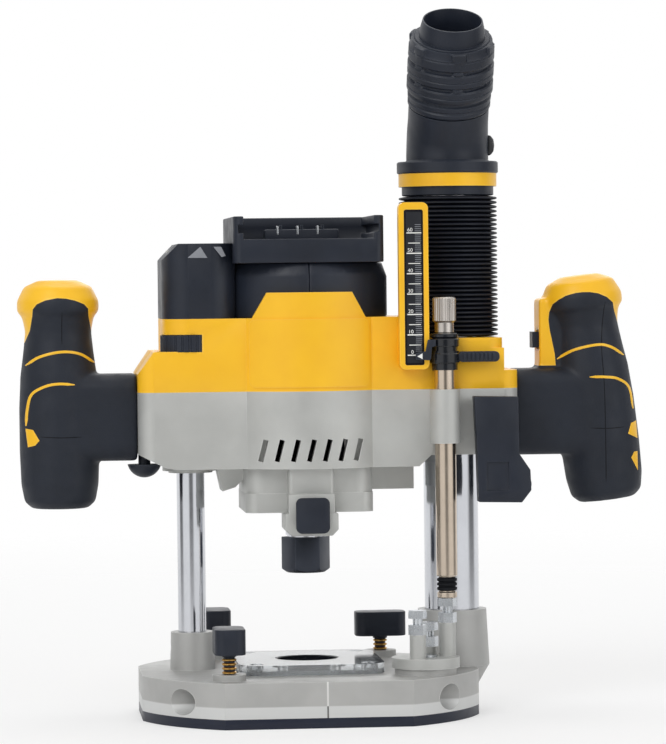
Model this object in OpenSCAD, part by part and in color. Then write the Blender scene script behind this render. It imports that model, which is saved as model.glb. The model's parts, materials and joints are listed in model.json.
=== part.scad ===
// Cordless plunge router: base with two guide columns, sprung motor carriage, depth stop and dust spout.
// Origin: centre of the base opening on the underside of the sole. +Z up, +X to the operator's right.

/* [Base] */
// Radius of the round base outline
base_r = 87; // [84:1:96]
// Width between the two side flats
base_w = 167; // [160:1:180]
// Depth between the front and rear flats
base_d = 148; // [146:1:160]
// Thickness of the sole plate
sole_t = 5; // [3:0.5:7]
// Height of the casting's top deck
deck_z = 22.5; // [21:0.5:27]
// Radius of the cutter opening in the sole
opening_r = 31.5; // [28:0.5:34]
// Radius of an edge-guide rod bore
guide_r = 4.05; // [3:0.05:4.5]
// Distance of the guide rods from the centre line
guide_y = 57; // [53:1:58]
// Height of the guide rod bores
guide_z = 12.3; // [11:0.1:14]
// Radius of the recess around each guide rod mouth
guide_pocket_r = 6.4; // [5:0.1:6.8]
// Distance of the clamp screws from the centre plane
clamp_x = 42.5; // [38:0.5:46]

/* [Columns] */
// Place of the left column
left_x = -57; // [-60:1:-55]
// Place of the right, hollow dust column
dust_x = 74; // [72:1:78]
// Depth place of both columns
col_y = 5; // [0:1:8]
// Radius of the left column
left_r = 7; // [6:0.25:8]
// Wall of the left column
left_wall = 2; // [1.5:0.25:2.5]
// Radius of the dust column
dust_r = 13.65; // [12:0.25:14.5]
// Wall of the dust column
dust_wall = 2; // [1.5:0.25:3]
// Top of the left column
left_top = 172; // [160:1:174]
// Top radius of the left column's boss
left_boss_r = 10.75; // [10:0.25:12]
// Height of the left column's boss
left_boss_z = 41.3; // [34:0.5:46]
// Top radius of the dust column's boss
dust_boss_r = 17.2; // [16:0.2:19]
// Height of the dust column's boss
dust_boss_z = 50.5; // [40:0.5:54]

/* [Carriage housing] */
// Plunge travel
plunge = 55; // [40:1:55]
// Underside of the cast housing
housing_z = 124; // [120:1:130]
// Seam between cast housing and yellow cover
seam_z = 162; // [158:1:165]
// Top of the yellow cover
cover_z = 198; // [196:1:200]
// Radius of the motor drum
drum_r = 46; // [44:1:48]
// Wall of the motor drum
drum_wall = 8; // [6:0.5:9]
// Front face of the side arms
arm_front = -34; // [-36:1:-32]
// Rear face of the side arms
arm_back = 36; // [32:1:40]
// Left end of the housing
left_end = -84; // [-90:1:-82]
// Right end of the housing
right_end = 104; // [102:1:110]
// Wall of the covers
cover_wall = 3; // [2:0.5:4]
// Half width of the square bearing housing
nose_w = 31.6; // [30:0.5:34]
// Underside of the bearing flange
nose_z = 102; // [100:1:106]

/* [Top and battery mount] */
// Radius of the black top shell
shell_r = 42; // [40:1:43]
// Height of the black shell above the cover
shell_h = 27; // [24:1:30]
// Height of the battery mount above the black shell
mount_h = 23; // [20:1:29]
// Width of the battery mount
mount_w = 74; // [72:1:84]
// Depth of the battery mount, front to back
mount_d = 86; // [80:1:92]
// Height of the battery floor above the black shell
floor_h = 11.7; // [8:0.1:15]

/* [Spindle and collet] */
// Width of the collet nut across its flats
nut_af = 21; // [20:0.5:26]
// Underside of the collet nut
nut_z = 70.5; // [66:0.5:76]
// Height of the collet nut
nut_h = 17.8; // [14:0.2:20]
// Radius of the collet's shank bore
collet_r = 6.35; // [3:0.05:6.35]
// Radius of the spindle at its lower bearing
spindle_r = 8.5; // [8:0.25:9]
// Outer radius of the lower bearing
low_bearing_r = 17.5; // [16:0.5:20]
// Outer radius of the upper bearing
top_bearing_r = 11; // [10:0.5:13]
// Outer radius of the stator
stator_r = 37; // [34:0.5:37]
// Radius of the rotor core
rotor_r = 19; // [17:0.5:21]

/* [Depth stop] */
// Place of the depth rod, to the right
rod_x = 66.5; // [65:0.5:68]
// Place of the depth rod, front to back
rod_y = -39; // [-40:0.5:-38]
// Radius of the depth rod
rod_r = 5.2; // [4:0.1:5.6]
// Height of the depth rod's tip
rod_tip_z = 59.3; // [56:0.1:62]
// Left edge of the depth scale
scale_x = 44; // [43:0.5:45]
// Width of the depth scale
scale_w = 14.6; // [12:0.2:15]
// Bottom of the depth scale
scale_z = 172; // [170:1:174]
// Height of the depth scale
scale_h = 82; // [78:1:84]
// Radius of the turret disc
turret_r = 16.7; // [15:0.1:16.8]
// Radius of the circle that the stop screws stand on
stop_pitch = 11.7; // [10:0.1:12]

/* [Handles] */
// Axis of the left handle
left_grip_x = -122.3; // [-130:0.5:-120]
// Axis of the right handle at its middle
right_grip_x = 146; // [144:0.5:152]
// Outward lean of the right handle in degrees
right_lean = 6.8; // [0:0.2:9]
// Largest radius of a grip
grip_r = 19.8; // [18:0.2:22]
// Bottom of the grips
grip_z = 104.5; // [102:0.5:108]
// Underside of the handle arms
boom_z = 128; // [126:1:130]
// Height of the handle arms
boom_h = 43; // [40:1:44]

/* [Dust spout] */
// Underside of the spout's neck
spout_z = 258; // [255:1:264]
// Outer radius of the spout's lower flange
spout_flange_r = 25.4; // [24:0.2:27]
// Radius of the spout's cylinder
spout_r = 20.6; // [19:0.2:22]
// Forward tilt of the spout's mouth in degrees
spout_tilt = 27; // [10:1:35]
// Inner radius of the hose mouth
port_r = 13; // [11:0.25:13.5]
// Outer radius of the twist collar
collar_r = 21.6; // [21:0.2:23]
// Outer radius of the bellows
bellows_r = 24.6; // [23:0.2:25]
// Number of folds in the bellows
bellows_folds = 32; // [20:1:36]

/* [Clearances] */
// Radial running clearance of a shaft in its bore
run = 0.05; // [0.02:0.01:0.1]
// Gap between separate moving pieces
gap = 0.3; // [0.2:0.1:0.5]

/* [Hidden] */
$fn = 64;

plate_black = [0.10, 0.11, 0.13];
body_yellow = [1.0, 0.75, 0.14];
cast_grey = [0.70, 0.70, 0.68];
steel = [0.80, 0.81, 0.83];
brass = [0.80, 0.62, 0.30];

// Heights that follow from the ones above
shell_z = cover_z + shell_h;
mount_z = shell_z + mount_h;
floor_z = shell_z + floor_h;
shoulder_z = shell_z - 7;
shoulder_in = 2.5;
rail_wall = 5;
rail_deep = 2.6;

// Base pieces
shield_w = 72;
shield_d = 80;
shield_corner = 12;
shield_z = 27.5;
shield_floor = sole_t + 7;
shield_wall = 3;
shield_hole_r = 16;
shield_screw_x = shield_w / 2 - 8.5;
shield_screw_y = shield_d / 2 - 8.5;
guide_end = 56.115;
sole_screw_x = 62;
sole_screw_y = 38;
rail_y = 47;
duct_w = 16;
duct_h = 9;
pad_h = 3;
pad_r = 8.2;
clamp_hole_r = 2.9;
clamp_sites = [[-clamp_x, -guide_y, 35.5], [-clamp_x, guide_y, 35.5], [clamp_x, guide_y, 33]];
knob_h = 12.4;
knob_l = 26;
knob_w = 15.2;
clamp_stem_r = 2.8;

// Turret
turret_x = rod_x - stop_pitch * cos(15);
turret_y = rod_y - stop_pitch * sin(15);
turret_z = deck_z + 3.2;
turret_h = 5;
pivot_r = 3;
pillar_r = 4.6;
stop_r = 2.4;
stop_tops = [[15, rod_tip_z - 0.1], [245, rod_tip_z - 4.8], [75, rod_tip_z - 12.5]];

// Carriage
arm_corner = 8;
drum_in = drum_r - drum_wall;
right_under = housing_z + 5.5;
tube_r = left_r + 4;
tube_top = left_top + plunge + 5;
pod_h = 37;
bush_r = left_r + 2;
dust_bush_r = dust_r + 2.2;
bush_l = 16;
arm_right_top = seam_z + 25;
right_shoulder = right_end - 7.3;
lock_z = nose_z - 5;
nose_r = nut_af / 2 - 1.3;
flange_top = nose_z + 9.6;
lever_y0 = arm_front - 12;
lever_x = 91;
lever_z = 146;
block_left = left_x - left_r - 7.5;
block_corner = 13;
dial_x = block_left + block_corner;
dial_r = block_corner + 1;
dial_y = arm_front + block_corner;
step_z = seam_z + 20;
dial_z = 182;
dial_h = 8;
grip_y = -2;
grip_mid = 157.5;
boom_y0 = -20;
boom_y1 = 16;
spout_joint_z = spout_z + 27;
sleeve_r = rod_r + 1.2;
sleeve_z = seam_z + 9.5;
spring_wire = 1.1;
handle_bolt_z = [boom_z + 12, boom_z + boom_h - 15];

// A rectangle from (x0, y0) to (x1, y1) with corners of radius r
module rrect(x0, x1, y0, y1, r) {
    translate([x0 + r, y0]) square([x1 - x0 - 2 * r, y1 - y0]);
    translate([x0, y0 + r]) square([x1 - x0, y1 - y0 - 2 * r]);
    for (x = [x0 + r, x1 - r], y = [y0 + r, y1 - r]) translate([x, y]) circle(r);
}

module zprism(z0, z1) { translate([0, 0, z0]) linear_extrude(z1 - z0) children(); }
module yprism(y0, y1) { translate([0, y1, 0]) rotate([90, 0, 0]) linear_extrude(y1 - y0) children(); }
module xprism(x0, x1) { translate([x0, 0, 0]) rotate([90, 0, 90]) linear_extrude(x1 - x0) children(); }
module zcyl(x, y, r, z0, z1) { translate([x, y, z0]) cylinder(r = r, h = z1 - z0); }
module ycyl(x, z, r, y0, y1) { translate([x, y0, z]) rotate([-90, 0, 0]) cylinder(r = r, h = y1 - y0); }
module xcyl(y, z, r, x0, x1) { translate([x0, y, z]) rotate([0, 90, 0]) cylinder(r = r, h = x1 - x0); }
module tube(x, y, ro, ri, z0, z1) {
    difference() {
        zcyl(x, y, ro, z0, z1);
        zcyl(x, y, ri, z0 - 1, z1 + 1);
    }
}

// ---- Base ----

module base_outline() {
    intersection() {
        circle(base_r, $fn = 128);
        square([base_w, base_d], center = true);
    }
}

module shield_outline(grow) {
    rrect(-shield_w / 2 - grow, shield_w / 2 + grow, -shield_d / 2 - grow, shield_d / 2 + grow,
        shield_corner + grow);
}

module sole_plate() {
    color(plate_black) difference() {
        zprism(0, sole_t) base_outline();
        zcyl(0, 0, opening_r, -1, sole_t + 1);
        for (x = [-1, 1], y = [-1, 1]) translate([x * sole_screw_x, y * sole_screw_y, 0]) {
            translate([0, 0, -1]) cylinder(r = 2, h = sole_t + 2);
            translate([0, 0, 0.6]) cylinder(r1 = 4, r2 = 2, h = 2);
            translate([0, 0, -1]) cylinder(r = 4, h = 1.6);
        }
    }
}

module sole_screws() {
    color(steel) for (x = [-1, 1], y = [-1, 1]) translate([x * sole_screw_x, y * sole_screw_y, 0.6]) {
        difference() {
            union() {
                cylinder(r1 = 4, r2 = 2, h = 2);
                cylinder(r = 2, h = sole_t + 4);
            }
            translate([0, 0, -1]) cylinder(r = 1.1, h = 2, $fn = 6);
        }
    }
}

// Boss of the dust column, with a chamfer that runs down to the side of the base
module dust_boss() {
    translate([dust_x, col_y, 0]) {
        translate([0, 0, deck_z]) cylinder(r1 = dust_boss_r + 1.4, r2 = dust_boss_r, h = dust_boss_z - deck_z);
        translate([0, 0, deck_z - 12]) cylinder(r1 = dust_boss_r - 5.6, r2 = dust_boss_r + 1.4, h = 12);
    }
}

module casting_body() {
    difference() {
        union() {
            zprism(sole_t, deck_z) base_outline();
            translate([left_x, col_y, deck_z]) cylinder(r1 = left_boss_r + 0.6, r2 = left_boss_r,
                h = left_boss_z - deck_z);
            dust_boss();
            for (s = clamp_sites) zcyl(s[0], s[1], pad_r, deck_z, deck_z + pad_h);
            zcyl(turret_x, turret_y, turret_r - 1.5, deck_z, turret_z - 0.1);
        }
        zcyl(0, 0, opening_r + 1.5, sole_t - 1, deck_z + 1);
        zprism(shield_floor, deck_z + 1) shield_outline(gap);
        zcyl(left_x, col_y, left_r, sole_t + 4, left_boss_z + 1);
        zcyl(dust_x, col_y, dust_r, deck_z - 3, dust_boss_z + 1);
        // dust duct from the opening to the hollow column
        translate([0, col_y - duct_w / 2, deck_z - 4 - duct_h]) cube([dust_x, duct_w, duct_h]);
        zcyl(dust_x, col_y, duct_w / 2, deck_z - 4 - duct_h, deck_z);
        // edge-guide rod bores with their recessed mouths
        for (y = [-guide_y, guide_y]) {
            xcyl(y, guide_z, guide_r, -base_r, base_r);
            xcyl(y, guide_z, guide_pocket_r, -base_r, -guide_end);
            xcyl(y, guide_z, guide_pocket_r, guide_end, base_r);
        }
        for (s = clamp_sites) zcyl(s[0], s[1], clamp_hole_r, guide_z, deck_z + pad_h + 1);
        for (x = [-1, 1], y = [-1, 1]) zcyl(x * sole_screw_x, y * sole_screw_y, 2, sole_t - 1, sole_t + 4.6);
        zcyl(turret_x, turret_y, pivot_r, deck_z - 8, turret_z + 1);
        for (x = [-1, 1], y = [-1, 1]) zcyl(x * shield_screw_x, y * shield_screw_y, 1.5, sole_t + 1, shield_floor + 1);
        xcyl(col_y, left_boss_z - 8, 2.5, left_x - 20, left_x - left_r + 0.5);
        xcyl(col_y, dust_boss_z - 10, 2.5, dust_x + dust_r - 0.5, dust_x + 30);
    }
}

// The casting is one piece, stored as three slices that touch, so that each bends around less.
module cast_slice(low, high) {
    color(cast_grey) intersection() {
        casting_body();
        translate([-base_w, low, 0]) cube([2 * base_w, high - low, dust_boss_z + 1]);
    }
}

module base_casting() {
    cast_slice(-rail_y, rail_y);
}

module base_front_rail() {
    cast_slice(-base_d, -rail_y);
}

module base_rear_rail() {
    cast_slice(rail_y, base_d);
}

module base_screws() {
    sole_screws();
    shield_screws();
    column_screws();
}

module chip_shield() {
    color([0.85, 0.88, 0.92, 0.4]) difference() {
        union() {
            difference() {
                zprism(shield_floor, shield_z) shield_outline(0);
                zprism(shield_floor - 1, shield_z - shield_wall) shield_outline(-shield_wall);
            }
            zcyl(0, 0, shield_hole_r + 2.5, shield_z - 8, shield_z);
            for (x = [-1, 1], y = [-1, 1]) zcyl(x * shield_screw_x, y * shield_screw_y, 4.6, shield_floor, shield_floor + 3);
        }
        zcyl(0, 0, shield_hole_r, shield_floor - 1, shield_z + 1);
        // windows for the dust duct and for access to the mounting screws
        translate([shield_w / 2 - 6, col_y - duct_w / 2, shield_floor - 1])
            cube([12, duct_w, deck_z - 3 - shield_floor]);
        for (x = [-1, 1], y = [-1, 1]) {
            zcyl(x * shield_screw_x, y * shield_screw_y, 3.4, shield_floor + 3, shield_z + 1);
            zcyl(x * shield_screw_x, y * shield_screw_y, 1.5, shield_floor - 1, shield_z);
        }
    }
}

module shield_screws() {
    color(steel) for (x = [-1, 1], y = [-1, 1]) translate([x * shield_screw_x, y * shield_screw_y, 0]) {
        translate([0, 0, sole_t + 1.5]) cylinder(r = 1.5, h = shield_floor - sole_t + 1.5);
        translate([0, 0, shield_floor + 3]) cylinder(r = 2.8, h = 2);
    }
}

module left_column() {
    color(steel) tube(left_x, col_y, left_r, left_r - left_wall, sole_t + 4, left_top);
}

module dust_column() {
    color(steel) tube(dust_x, col_y, dust_r, dust_r - dust_wall, deck_z - 3, spout_z + 12);
}

module column_screws() {
    color(steel) {
        xcyl(col_y, left_boss_z - 8, 2.5, left_x - left_boss_r + 1.2, left_x - left_r - 0.3);
        xcyl(col_y, dust_boss_z - 10, 2.5, dust_x + dust_r + 0.3, dust_x + dust_boss_r - 1.2);
    }
}

module plunge_spring() {
    color(steel) tube(left_x, col_y, left_r - left_wall - 0.4, left_r - left_wall - 0.4 - 2 * spring_wire,
        sole_t + 4, tube_top - 4);
}

// ---- Guide rod clamps ----

module clamp_knob(site) {
    x = site[0];
    y = site[1];
    z = site[2];
    color(plate_black) difference() {
        zprism(z, z + knob_h) translate([x, y]) rrect(-knob_w / 2, knob_w / 2, -knob_l / 2, knob_l / 2, 5);
        zcyl(x, y, clamp_stem_r, z - 1, z + knob_h - 2);
    }
    color(brass) {
        zcyl(x, y, clamp_stem_r, guide_z + guide_r + 0.3, z + knob_h - 2);
        tube(x, y, clamp_stem_r + 0.9, clamp_stem_r, z - 1.5, z);
    }
}

module clamp_knob_front() { clamp_knob(clamp_sites[0]); }
module clamp_knob_rear_left() { clamp_knob(clamp_sites[1]); }
module clamp_knob_rear_right() {
    s = clamp_sites[2];
    translate([s[0], s[1], 0]) rotate([0, 0, 90]) translate([-s[0], -s[1], 0]) clamp_knob(s);
}

module clamp_springs() {
    color(brass) for (s = clamp_sites)
        tube(s[0], s[1], clamp_stem_r + 1.3, clamp_stem_r + 0.3, deck_z + pad_h, s[2] - 1.5 - gap / 2);
}

// ---- Turret ----

function stop_pos(a) = [turret_x + stop_pitch * cos(a), turret_y + stop_pitch * sin(a)];

module turret_disc() {
    color(cast_grey) difference() {
        union() {
            zcyl(turret_x, turret_y, turret_r, turret_z, turret_z + turret_h);
            for (s = stop_tops) zcyl(stop_pos(s[0])[0], stop_pos(s[0])[1], pillar_r - 0.6,
                turret_z + turret_h, s[1] - 12);
        }
        zcyl(turret_x, turret_y, pivot_r + run, turret_z - 1, turret_z + turret_h + 1);
        zcyl(turret_x, turret_y, 5.5 + gap, turret_z + turret_h - 2, turret_z + turret_h + 1);
        for (s = stop_tops) zcyl(stop_pos(s[0])[0], stop_pos(s[0])[1], stop_r + run, turret_z + 2, 100);
    }
}

module turret_pivot() {
    color(steel) {
        zcyl(turret_x, turret_y, pivot_r, deck_z - 8, turret_z + turret_h - 1.9);
        zcyl(turret_x, turret_y, 5.5, turret_z + turret_h - 1.9, turret_z + turret_h + 1);
    }
}

// One stop screw: hexagon head on top, shank down through its nut and pillar
module stop_screw(s) {
    p = stop_pos(s[0]);
    color(steel) translate([p[0], p[1], 0]) difference() {
        union() {
            translate([0, 0, s[1] - 4]) cylinder(r = pillar_r, h = 4, $fn = 6);
            translate([0, 0, turret_z + 2.2]) cylinder(r = stop_r, h = s[1] - 4 - turret_z - 2.2);
        }
        translate([0, -0.5, s[1] - 1]) translate([-6, 0, 0]) cube([12, 1, 2]);
    }
}

module stop_screw_high() { stop_screw(stop_tops[0]); }
module stop_screw_middle() { stop_screw(stop_tops[1]); }
module stop_screw_low() { stop_screw(stop_tops[2]); }

module stop_nuts() {
    color(steel) for (s = stop_tops) {
        p = stop_pos(s[0]);
        difference() {
            translate([p[0], p[1], s[1] - 12]) cylinder(r = pillar_r, h = 5, $fn = 6);
            zcyl(p[0], p[1], stop_r + run, 0, 100);
        }
    }
}

// ---- Carriage housing ----

// Plan of the housing: the motor drum with an arm to each side
module housing_plan(drum, inset) {
    circle(drum, $fn = 128);
    rrect(left_end + inset, right_end - inset, arm_front + inset, arm_back - inset, arm_corner - inset / 2);
}

// Side outline of the cast housing, seen from the front
module housing_side() {
    polygon([[left_end - 1, seam_z + 1], [left_end - 1, housing_z + 8], [left_x - 14, housing_z + 1],
        [left_x - 8, housing_z], [dust_x - 20, housing_z], [dust_x - 14, right_under],
        [right_end + 1, right_under], [right_end + 1, seam_z + 1]]);
}

module column_holes(z0, z1) {
    zcyl(left_x, col_y, tube_r, z0, z1);
    zcyl(dust_x, col_y, dust_bush_r, z0, z1);
}

module vent_slots() {
    for (i = [-3 : 3]) translate([i * 7.8, 0, housing_z + 9]) rotate([0, 14, 0])
        translate([-1.25, -drum_r - 2, -5.5]) cube([2.5, drum_wall + 6, 11]);
}

module lower_housing() {
    color(cast_grey) difference() {
        union() {
            intersection() {
                zprism(housing_z, seam_z) housing_plan(drum_r, 0);
                yprism(-drum_r - 1, drum_r + 1) housing_side();
            }
            zprism(flange_top, housing_z + 1) rrect(-nose_w, nose_w, -nose_w, nose_w, 9);
            // gussets that reach down beside the bearing housing
            yprism(-12, 12) polygon([[left_x + tube_r + 1, housing_z + 2], [left_x + tube_r + 4, housing_z - 12],
                [-nose_w - 4, housing_z - 10], [-nose_w + 2, housing_z - 4], [-nose_w + 2, housing_z + 2]]);
            yprism(-12, 12) polygon([[nose_w - 2, housing_z + 2], [nose_w - 2, housing_z - 12],
                [dust_x - 20.5, housing_z - 12], [dust_x - 20.5, housing_z + 2]]);
            zcyl(left_x, col_y, tube_r + 3, housing_z - 2, housing_z + 4);
            zprism(flange_top, housing_z + 3) rrect(-11.3, 11.3, -41, -nose_w + 2, 2);
            zcyl(rod_x, rod_y, rod_r + 2.3, right_under + 6, seam_z);
            zprism(right_under + 6, seam_z) translate([rod_x - 4, rod_y]) square([8, arm_front - rod_y + 1]);
        }
        zcyl(0, 0, drum_in, housing_z + 2, seam_z + 1);
        zcyl(0, 0, low_bearing_r, flange_top - 1, flange_top + 10);
        zcyl(0, 0, spindle_r + 3, flange_top - 1, housing_z + 3);
        zcyl(left_x, col_y, tube_r, housing_z - 3, seam_z + 1);
        zcyl(dust_x, col_y, dust_bush_r, right_under - 1, seam_z + 1);
        zcyl(rod_x, rod_y, rod_r + run, right_under, seam_z + 1);
        // pockets that lighten the arms
        zprism(right_under + 5, seam_z + 1) arm_pockets();
        vent_slots();
        for (x = [-1, 1], y = [-1, 1]) zcyl(x * (nose_w - 6), y * (nose_w - 6), 2, flange_top - 1, flange_top + 9);
        handle_bolt_holes();
        ycyl(lever_x, lever_z, 3 + run, arm_front - 1, arm_front + 14);
    }
}

// Hollows beside the column tubes, shared by the housing's arms and the covers
module arm_pockets() {
    difference() {
        rrect(left_end + 16, -drum_r - 1, arm_front + cover_wall + 1, arm_back - cover_wall - 1, 4);
        circle(drum_r + 1);
        translate([left_x, col_y]) circle(tube_r + 3);
    }
    difference() {
        rrect(drum_r + 1, dust_x - 2, arm_front + 15, arm_back - cover_wall - 1, 4);
        translate([dust_x, col_y]) circle(dust_bush_r + 3);
    }
}

// Plan of the narrower block over the left column, with large rounded corners
module block_plan() {
    rrect(block_left, drum_r - 10, arm_front, arm_back - 2, block_corner);
}

module cover_block() {
    intersection() {
        zprism(seam_z, step_z) housing_plan(drum_r, 0);
        yprism(-drum_r - 1, drum_r + 1) polygon([[left_end, seam_z - 1], [left_end, seam_z + 9],
            [block_left - 4, step_z + 1], [right_shoulder, step_z + 1], [right_shoulder, seam_z + 9],
            [right_end + 1, seam_z + 9], [right_end + 1, seam_z - 1]]);
    }
    zprism(step_z, cover_z) {
        circle(drum_r, $fn = 128);
        block_plan();
    }
    zprism(step_z, arm_right_top) rrect(0, right_shoulder, arm_front, arm_back, arm_corner);
    zprism(step_z, cover_z) rrect(0, scale_x + scale_w, arm_front, arm_back, 4);
}

module cover_voids() {
    zcyl(0, 0, drum_in, seam_z - 1, cover_z + 1);
    column_holes(seam_z - 1, cover_z + 1);
    zprism(seam_z - 1, arm_right_top - cover_wall - 6) arm_pockets();
    zcyl(dial_x, dial_y, dial_r + gap, dial_z - gap, dial_z + dial_h + gap);
    zcyl(dust_x, col_y, bellows_r + gap, arm_right_top, cover_z + 1);
    zcyl(dial_x, dial_y, 3, dial_z - 8, cover_z + 1);
    zcyl(rod_x, rod_y, rod_r + gap, seam_z - 1, cover_z + 1);
    zcyl(rod_x, rod_y, sleeve_r + 1 + gap, sleeve_z - 0.5, cover_z + 1);
    handle_bolt_holes();
}

module front_cover() {
    color(body_yellow) difference() {
        union() {
            intersection() {
                cover_block();
                translate([-200, -200, 0]) cube([400, 200, 300]);
            }
            // raised front panel in front of the black shell
            intersection() {
                zprism(cover_z - 1, cover_z + 13) difference() {
                    circle(drum_r, $fn = 128);
                    circle(shell_r + gap, $fn = 128);
                }
                yprism(-drum_r - 1, -10) polygon([[-28, cover_z - 1], [-28, cover_z], [-21, cover_z + 12.5],
                    [21, cover_z + 12.5], [28, cover_z], [28, cover_z - 1]]);
            }
        }
        cover_voids();
        ycyl(0, seam_z + 18, 1.2, -drum_r - 1, -drum_in);
    }
}

module rear_cover() {
    color(body_yellow) difference() {
        intersection() {
            cover_block();
            translate([-200, 0, 0]) cube([400, 200, 300]);
        }
        cover_voids();
        for (i = [-4 : 4]) translate([i * 6 - 1.5, drum_in - 3, seam_z + 8]) cube([3, drum_wall + 6, 18]);
    }
}

module label_plate() {
    color(body_yellow) intersection() {
        tube(0, 0, drum_r + 0.8, drum_r, seam_z + 2, cover_z - 0.6, $fn = 128);
        yprism(-drum_r - 2, -20) rrect(-29.5, 29.5, seam_z + 2, cover_z - 0.6, 3);
    }
}

module bearing_flange() {
    color(cast_grey) difference() {
        zprism(nose_z, flange_top) rrect(-nose_w, nose_w, -nose_w, nose_w, 6);
        zcyl(0, 0, spindle_r + 2.5, nose_z - 1, flange_top + 1);
        for (x = [-1, 1], y = [-1, 1]) {
            zcyl(x * (nose_w - 6), y * (nose_w - 6), 2, nose_z - 1, flange_top + 1);
            zcyl(x * (nose_w - 6), y * (nose_w - 6), 3.6, nose_z - 1, nose_z + 3);
        }
        for (x = [-1, 1]) zcyl(x * 21, 8, 3, nose_z - 1, nose_z + 2);
    }
}

module housing_screws() {
    color(steel) for (z = handle_bolt_z) {
        xcyl(2, z, 3, left_end - 4, left_end + 11);
        xcyl(2, z, 3, right_end - 5, right_end + 4);
    }
    color(steel) for (x = [-1, 1], y = [-1, 1]) translate([x * (nose_w - 6), y * (nose_w - 6), 0]) {
        difference() {
            translate([0, 0, nose_z]) cylinder(r = 3.5, h = 3);
            translate([0, 0, nose_z - 1]) cylinder(r = 1.6, h = 2.5, $fn = 6);
        }
        translate([0, 0, nose_z + 3]) cylinder(r = 2, h = flange_top + 8 - nose_z - 3);
    }
}

module lock_guard() {
    color(cast_grey) difference() {
        union() {
            yprism(-42, -15) polygon([[-13, nose_z], [13, nose_z], [13, nose_z - 8], [10, nose_z - 11],
                [-10, nose_z - 11], [-13, nose_z - 8]]);
            yprism(-42, -nose_w) translate([-11.3, nose_z]) square([22.6, flange_top - nose_z]);
        }
        ycyl(0, lock_z, 2.5 + run, -50, 0);
        ycyl(0, lock_z, 4.2, -50, -28);
    }
}

module work_lights() {
    color([0.95, 0.95, 0.9, 0.5]) for (x = [-1, 1]) zcyl(x * 21, 8, 3, nose_z - 0.8, nose_z + 2);
}

module guide_tube() {
    color(cast_grey) difference() {
        zcyl(left_x, col_y, tube_r, housing_z - 3, tube_top);
        zcyl(left_x, col_y, bush_r, housing_z - 4, tube_top - 4);
    }
}

module column_bushes() {
    color(brass) {
        tube(left_x, col_y, bush_r, left_r + run, housing_z - 3, housing_z - 3 + bush_l);
        tube(left_x, col_y, bush_r, left_r + run, left_top - bush_l - 8, left_top - 8);
        tube(dust_x, col_y, dust_bush_r, dust_r + run, right_under, right_under + bush_l);
        tube(dust_x, col_y, dust_bush_r, dust_r + run, arm_right_top - bush_l, arm_right_top);
    }
}

module boom_plug() {
    plug_x = left_end + 3.5;
    color(plate_black) difference() {
        union() {
            intersection() {
                translate([plug_x, -8, housing_z + 4]) sphere(r = 8.6);
                translate([plug_x - 10, -20, housing_z - 5]) cube([20, 28, 7]);
            }
            zcyl(plug_x, -8, 3, housing_z + 1, housing_z + 7);
        }
        yprism(-40, 40) housing_side();
    }
}

// ---- Top ----

module top_shell(side) {
    color(plate_black) difference() {
        intersection() {
            union() {
                zcyl(0, 0, shell_r, cover_z, shoulder_z, $fn = 128);
                translate([0, 0, shoulder_z])
                    cylinder(r1 = shell_r, r2 = shell_r - shoulder_in, h = shell_z - shoulder_z, $fn = 128);
            }
            translate([side > 0 ? 0 : -100, -100, 0]) cube([100, 200, 300]);
        }
        zcyl(0, 0, shell_r - cover_wall, cover_z - 1, shoulder_z - 1, $fn = 128);
        zcyl(0, 0, shell_r - shoulder_in - cover_wall, cover_z - 1, shell_z + 1, $fn = 128);
    }
}

module top_shell_left() { top_shell(-1); }
module top_shell_right() { top_shell(1); }

module battery_mount() {
    color(plate_black) difference() {
        zprism(shell_z, mount_z) rrect(-mount_w / 2, mount_w / 2, -mount_d / 2 + 1, mount_d / 2 + 1, 4);
        // channel that the battery slides into, open to the front and the top
        translate([-mount_w / 2 + rail_wall, -mount_d, floor_z]) cube([mount_w - 2 * rail_wall, mount_d + 22, mount_z]);
        // rail grooves along both sides
        for (x = [-1, 1]) translate([x * (mount_w / 2 - rail_wall) - rail_deep, -mount_d, floor_z + 3])
            cube([2 * rail_deep, mount_d + 22, 4]);
        translate([-mount_w / 2 + 14, -mount_d / 2 + 6, shell_z - 1]) cube([mount_w - 28, mount_d - 12, 7]);
        for (x = [-10.5, 0, 10.5]) translate([x - 0.7, 2, floor_z - 6]) cube([1.4, 12, 10]);
    }
}

module battery_contacts() {
    color(steel) for (x = [-10.5, 0, 10.5]) translate([x - 0.7, 2, floor_z - 4.6]) cube([1.4, 12, 12]);
}

module control_pod() {
    color(plate_black) difference() {
        intersection() {
            zprism(cover_z, cover_z + pod_h) rrect(block_left, left_x + 22, arm_front, arm_back - 2, block_corner);
            yprism(-100, 100) polygon([[block_left, cover_z - 1], [block_left, cover_z + pod_h - 8],
                [block_left + 8, cover_z + pod_h], [left_x + 24, cover_z + pod_h], [left_x + 24, cover_z - 1]]);
        }
        zcyl(0, 0, shell_r, cover_z - 1, cover_z + 40, $fn = 128);
        zcyl(left_x, col_y, tube_r, cover_z - 1, tube_top);
        translate([-mount_w / 2, -mount_d / 2 - 1, shell_z]) cube([mount_w, mount_d + 6, 40]);
        translate([dial_x - 8, dial_y - 8, cover_z - 1]) cube([16, 14.5, 26]);
    }
}

module electronics() {
    color([0.1, 0.35, 0.2]) difference() {
        translate([-26, -24, cover_z + 6]) cube([52, 48, 12]);
        zcyl(0, 0, 6, cover_z, cover_z + 20);
    }
    color(plate_black) {
        zcyl(dial_x, dial_y, 1.8, dial_z - 6, cover_z + 8);
        translate([dial_x - 7, dial_y - 7, cover_z + 8]) cube([14, 12, 6]);
    }
}

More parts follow.
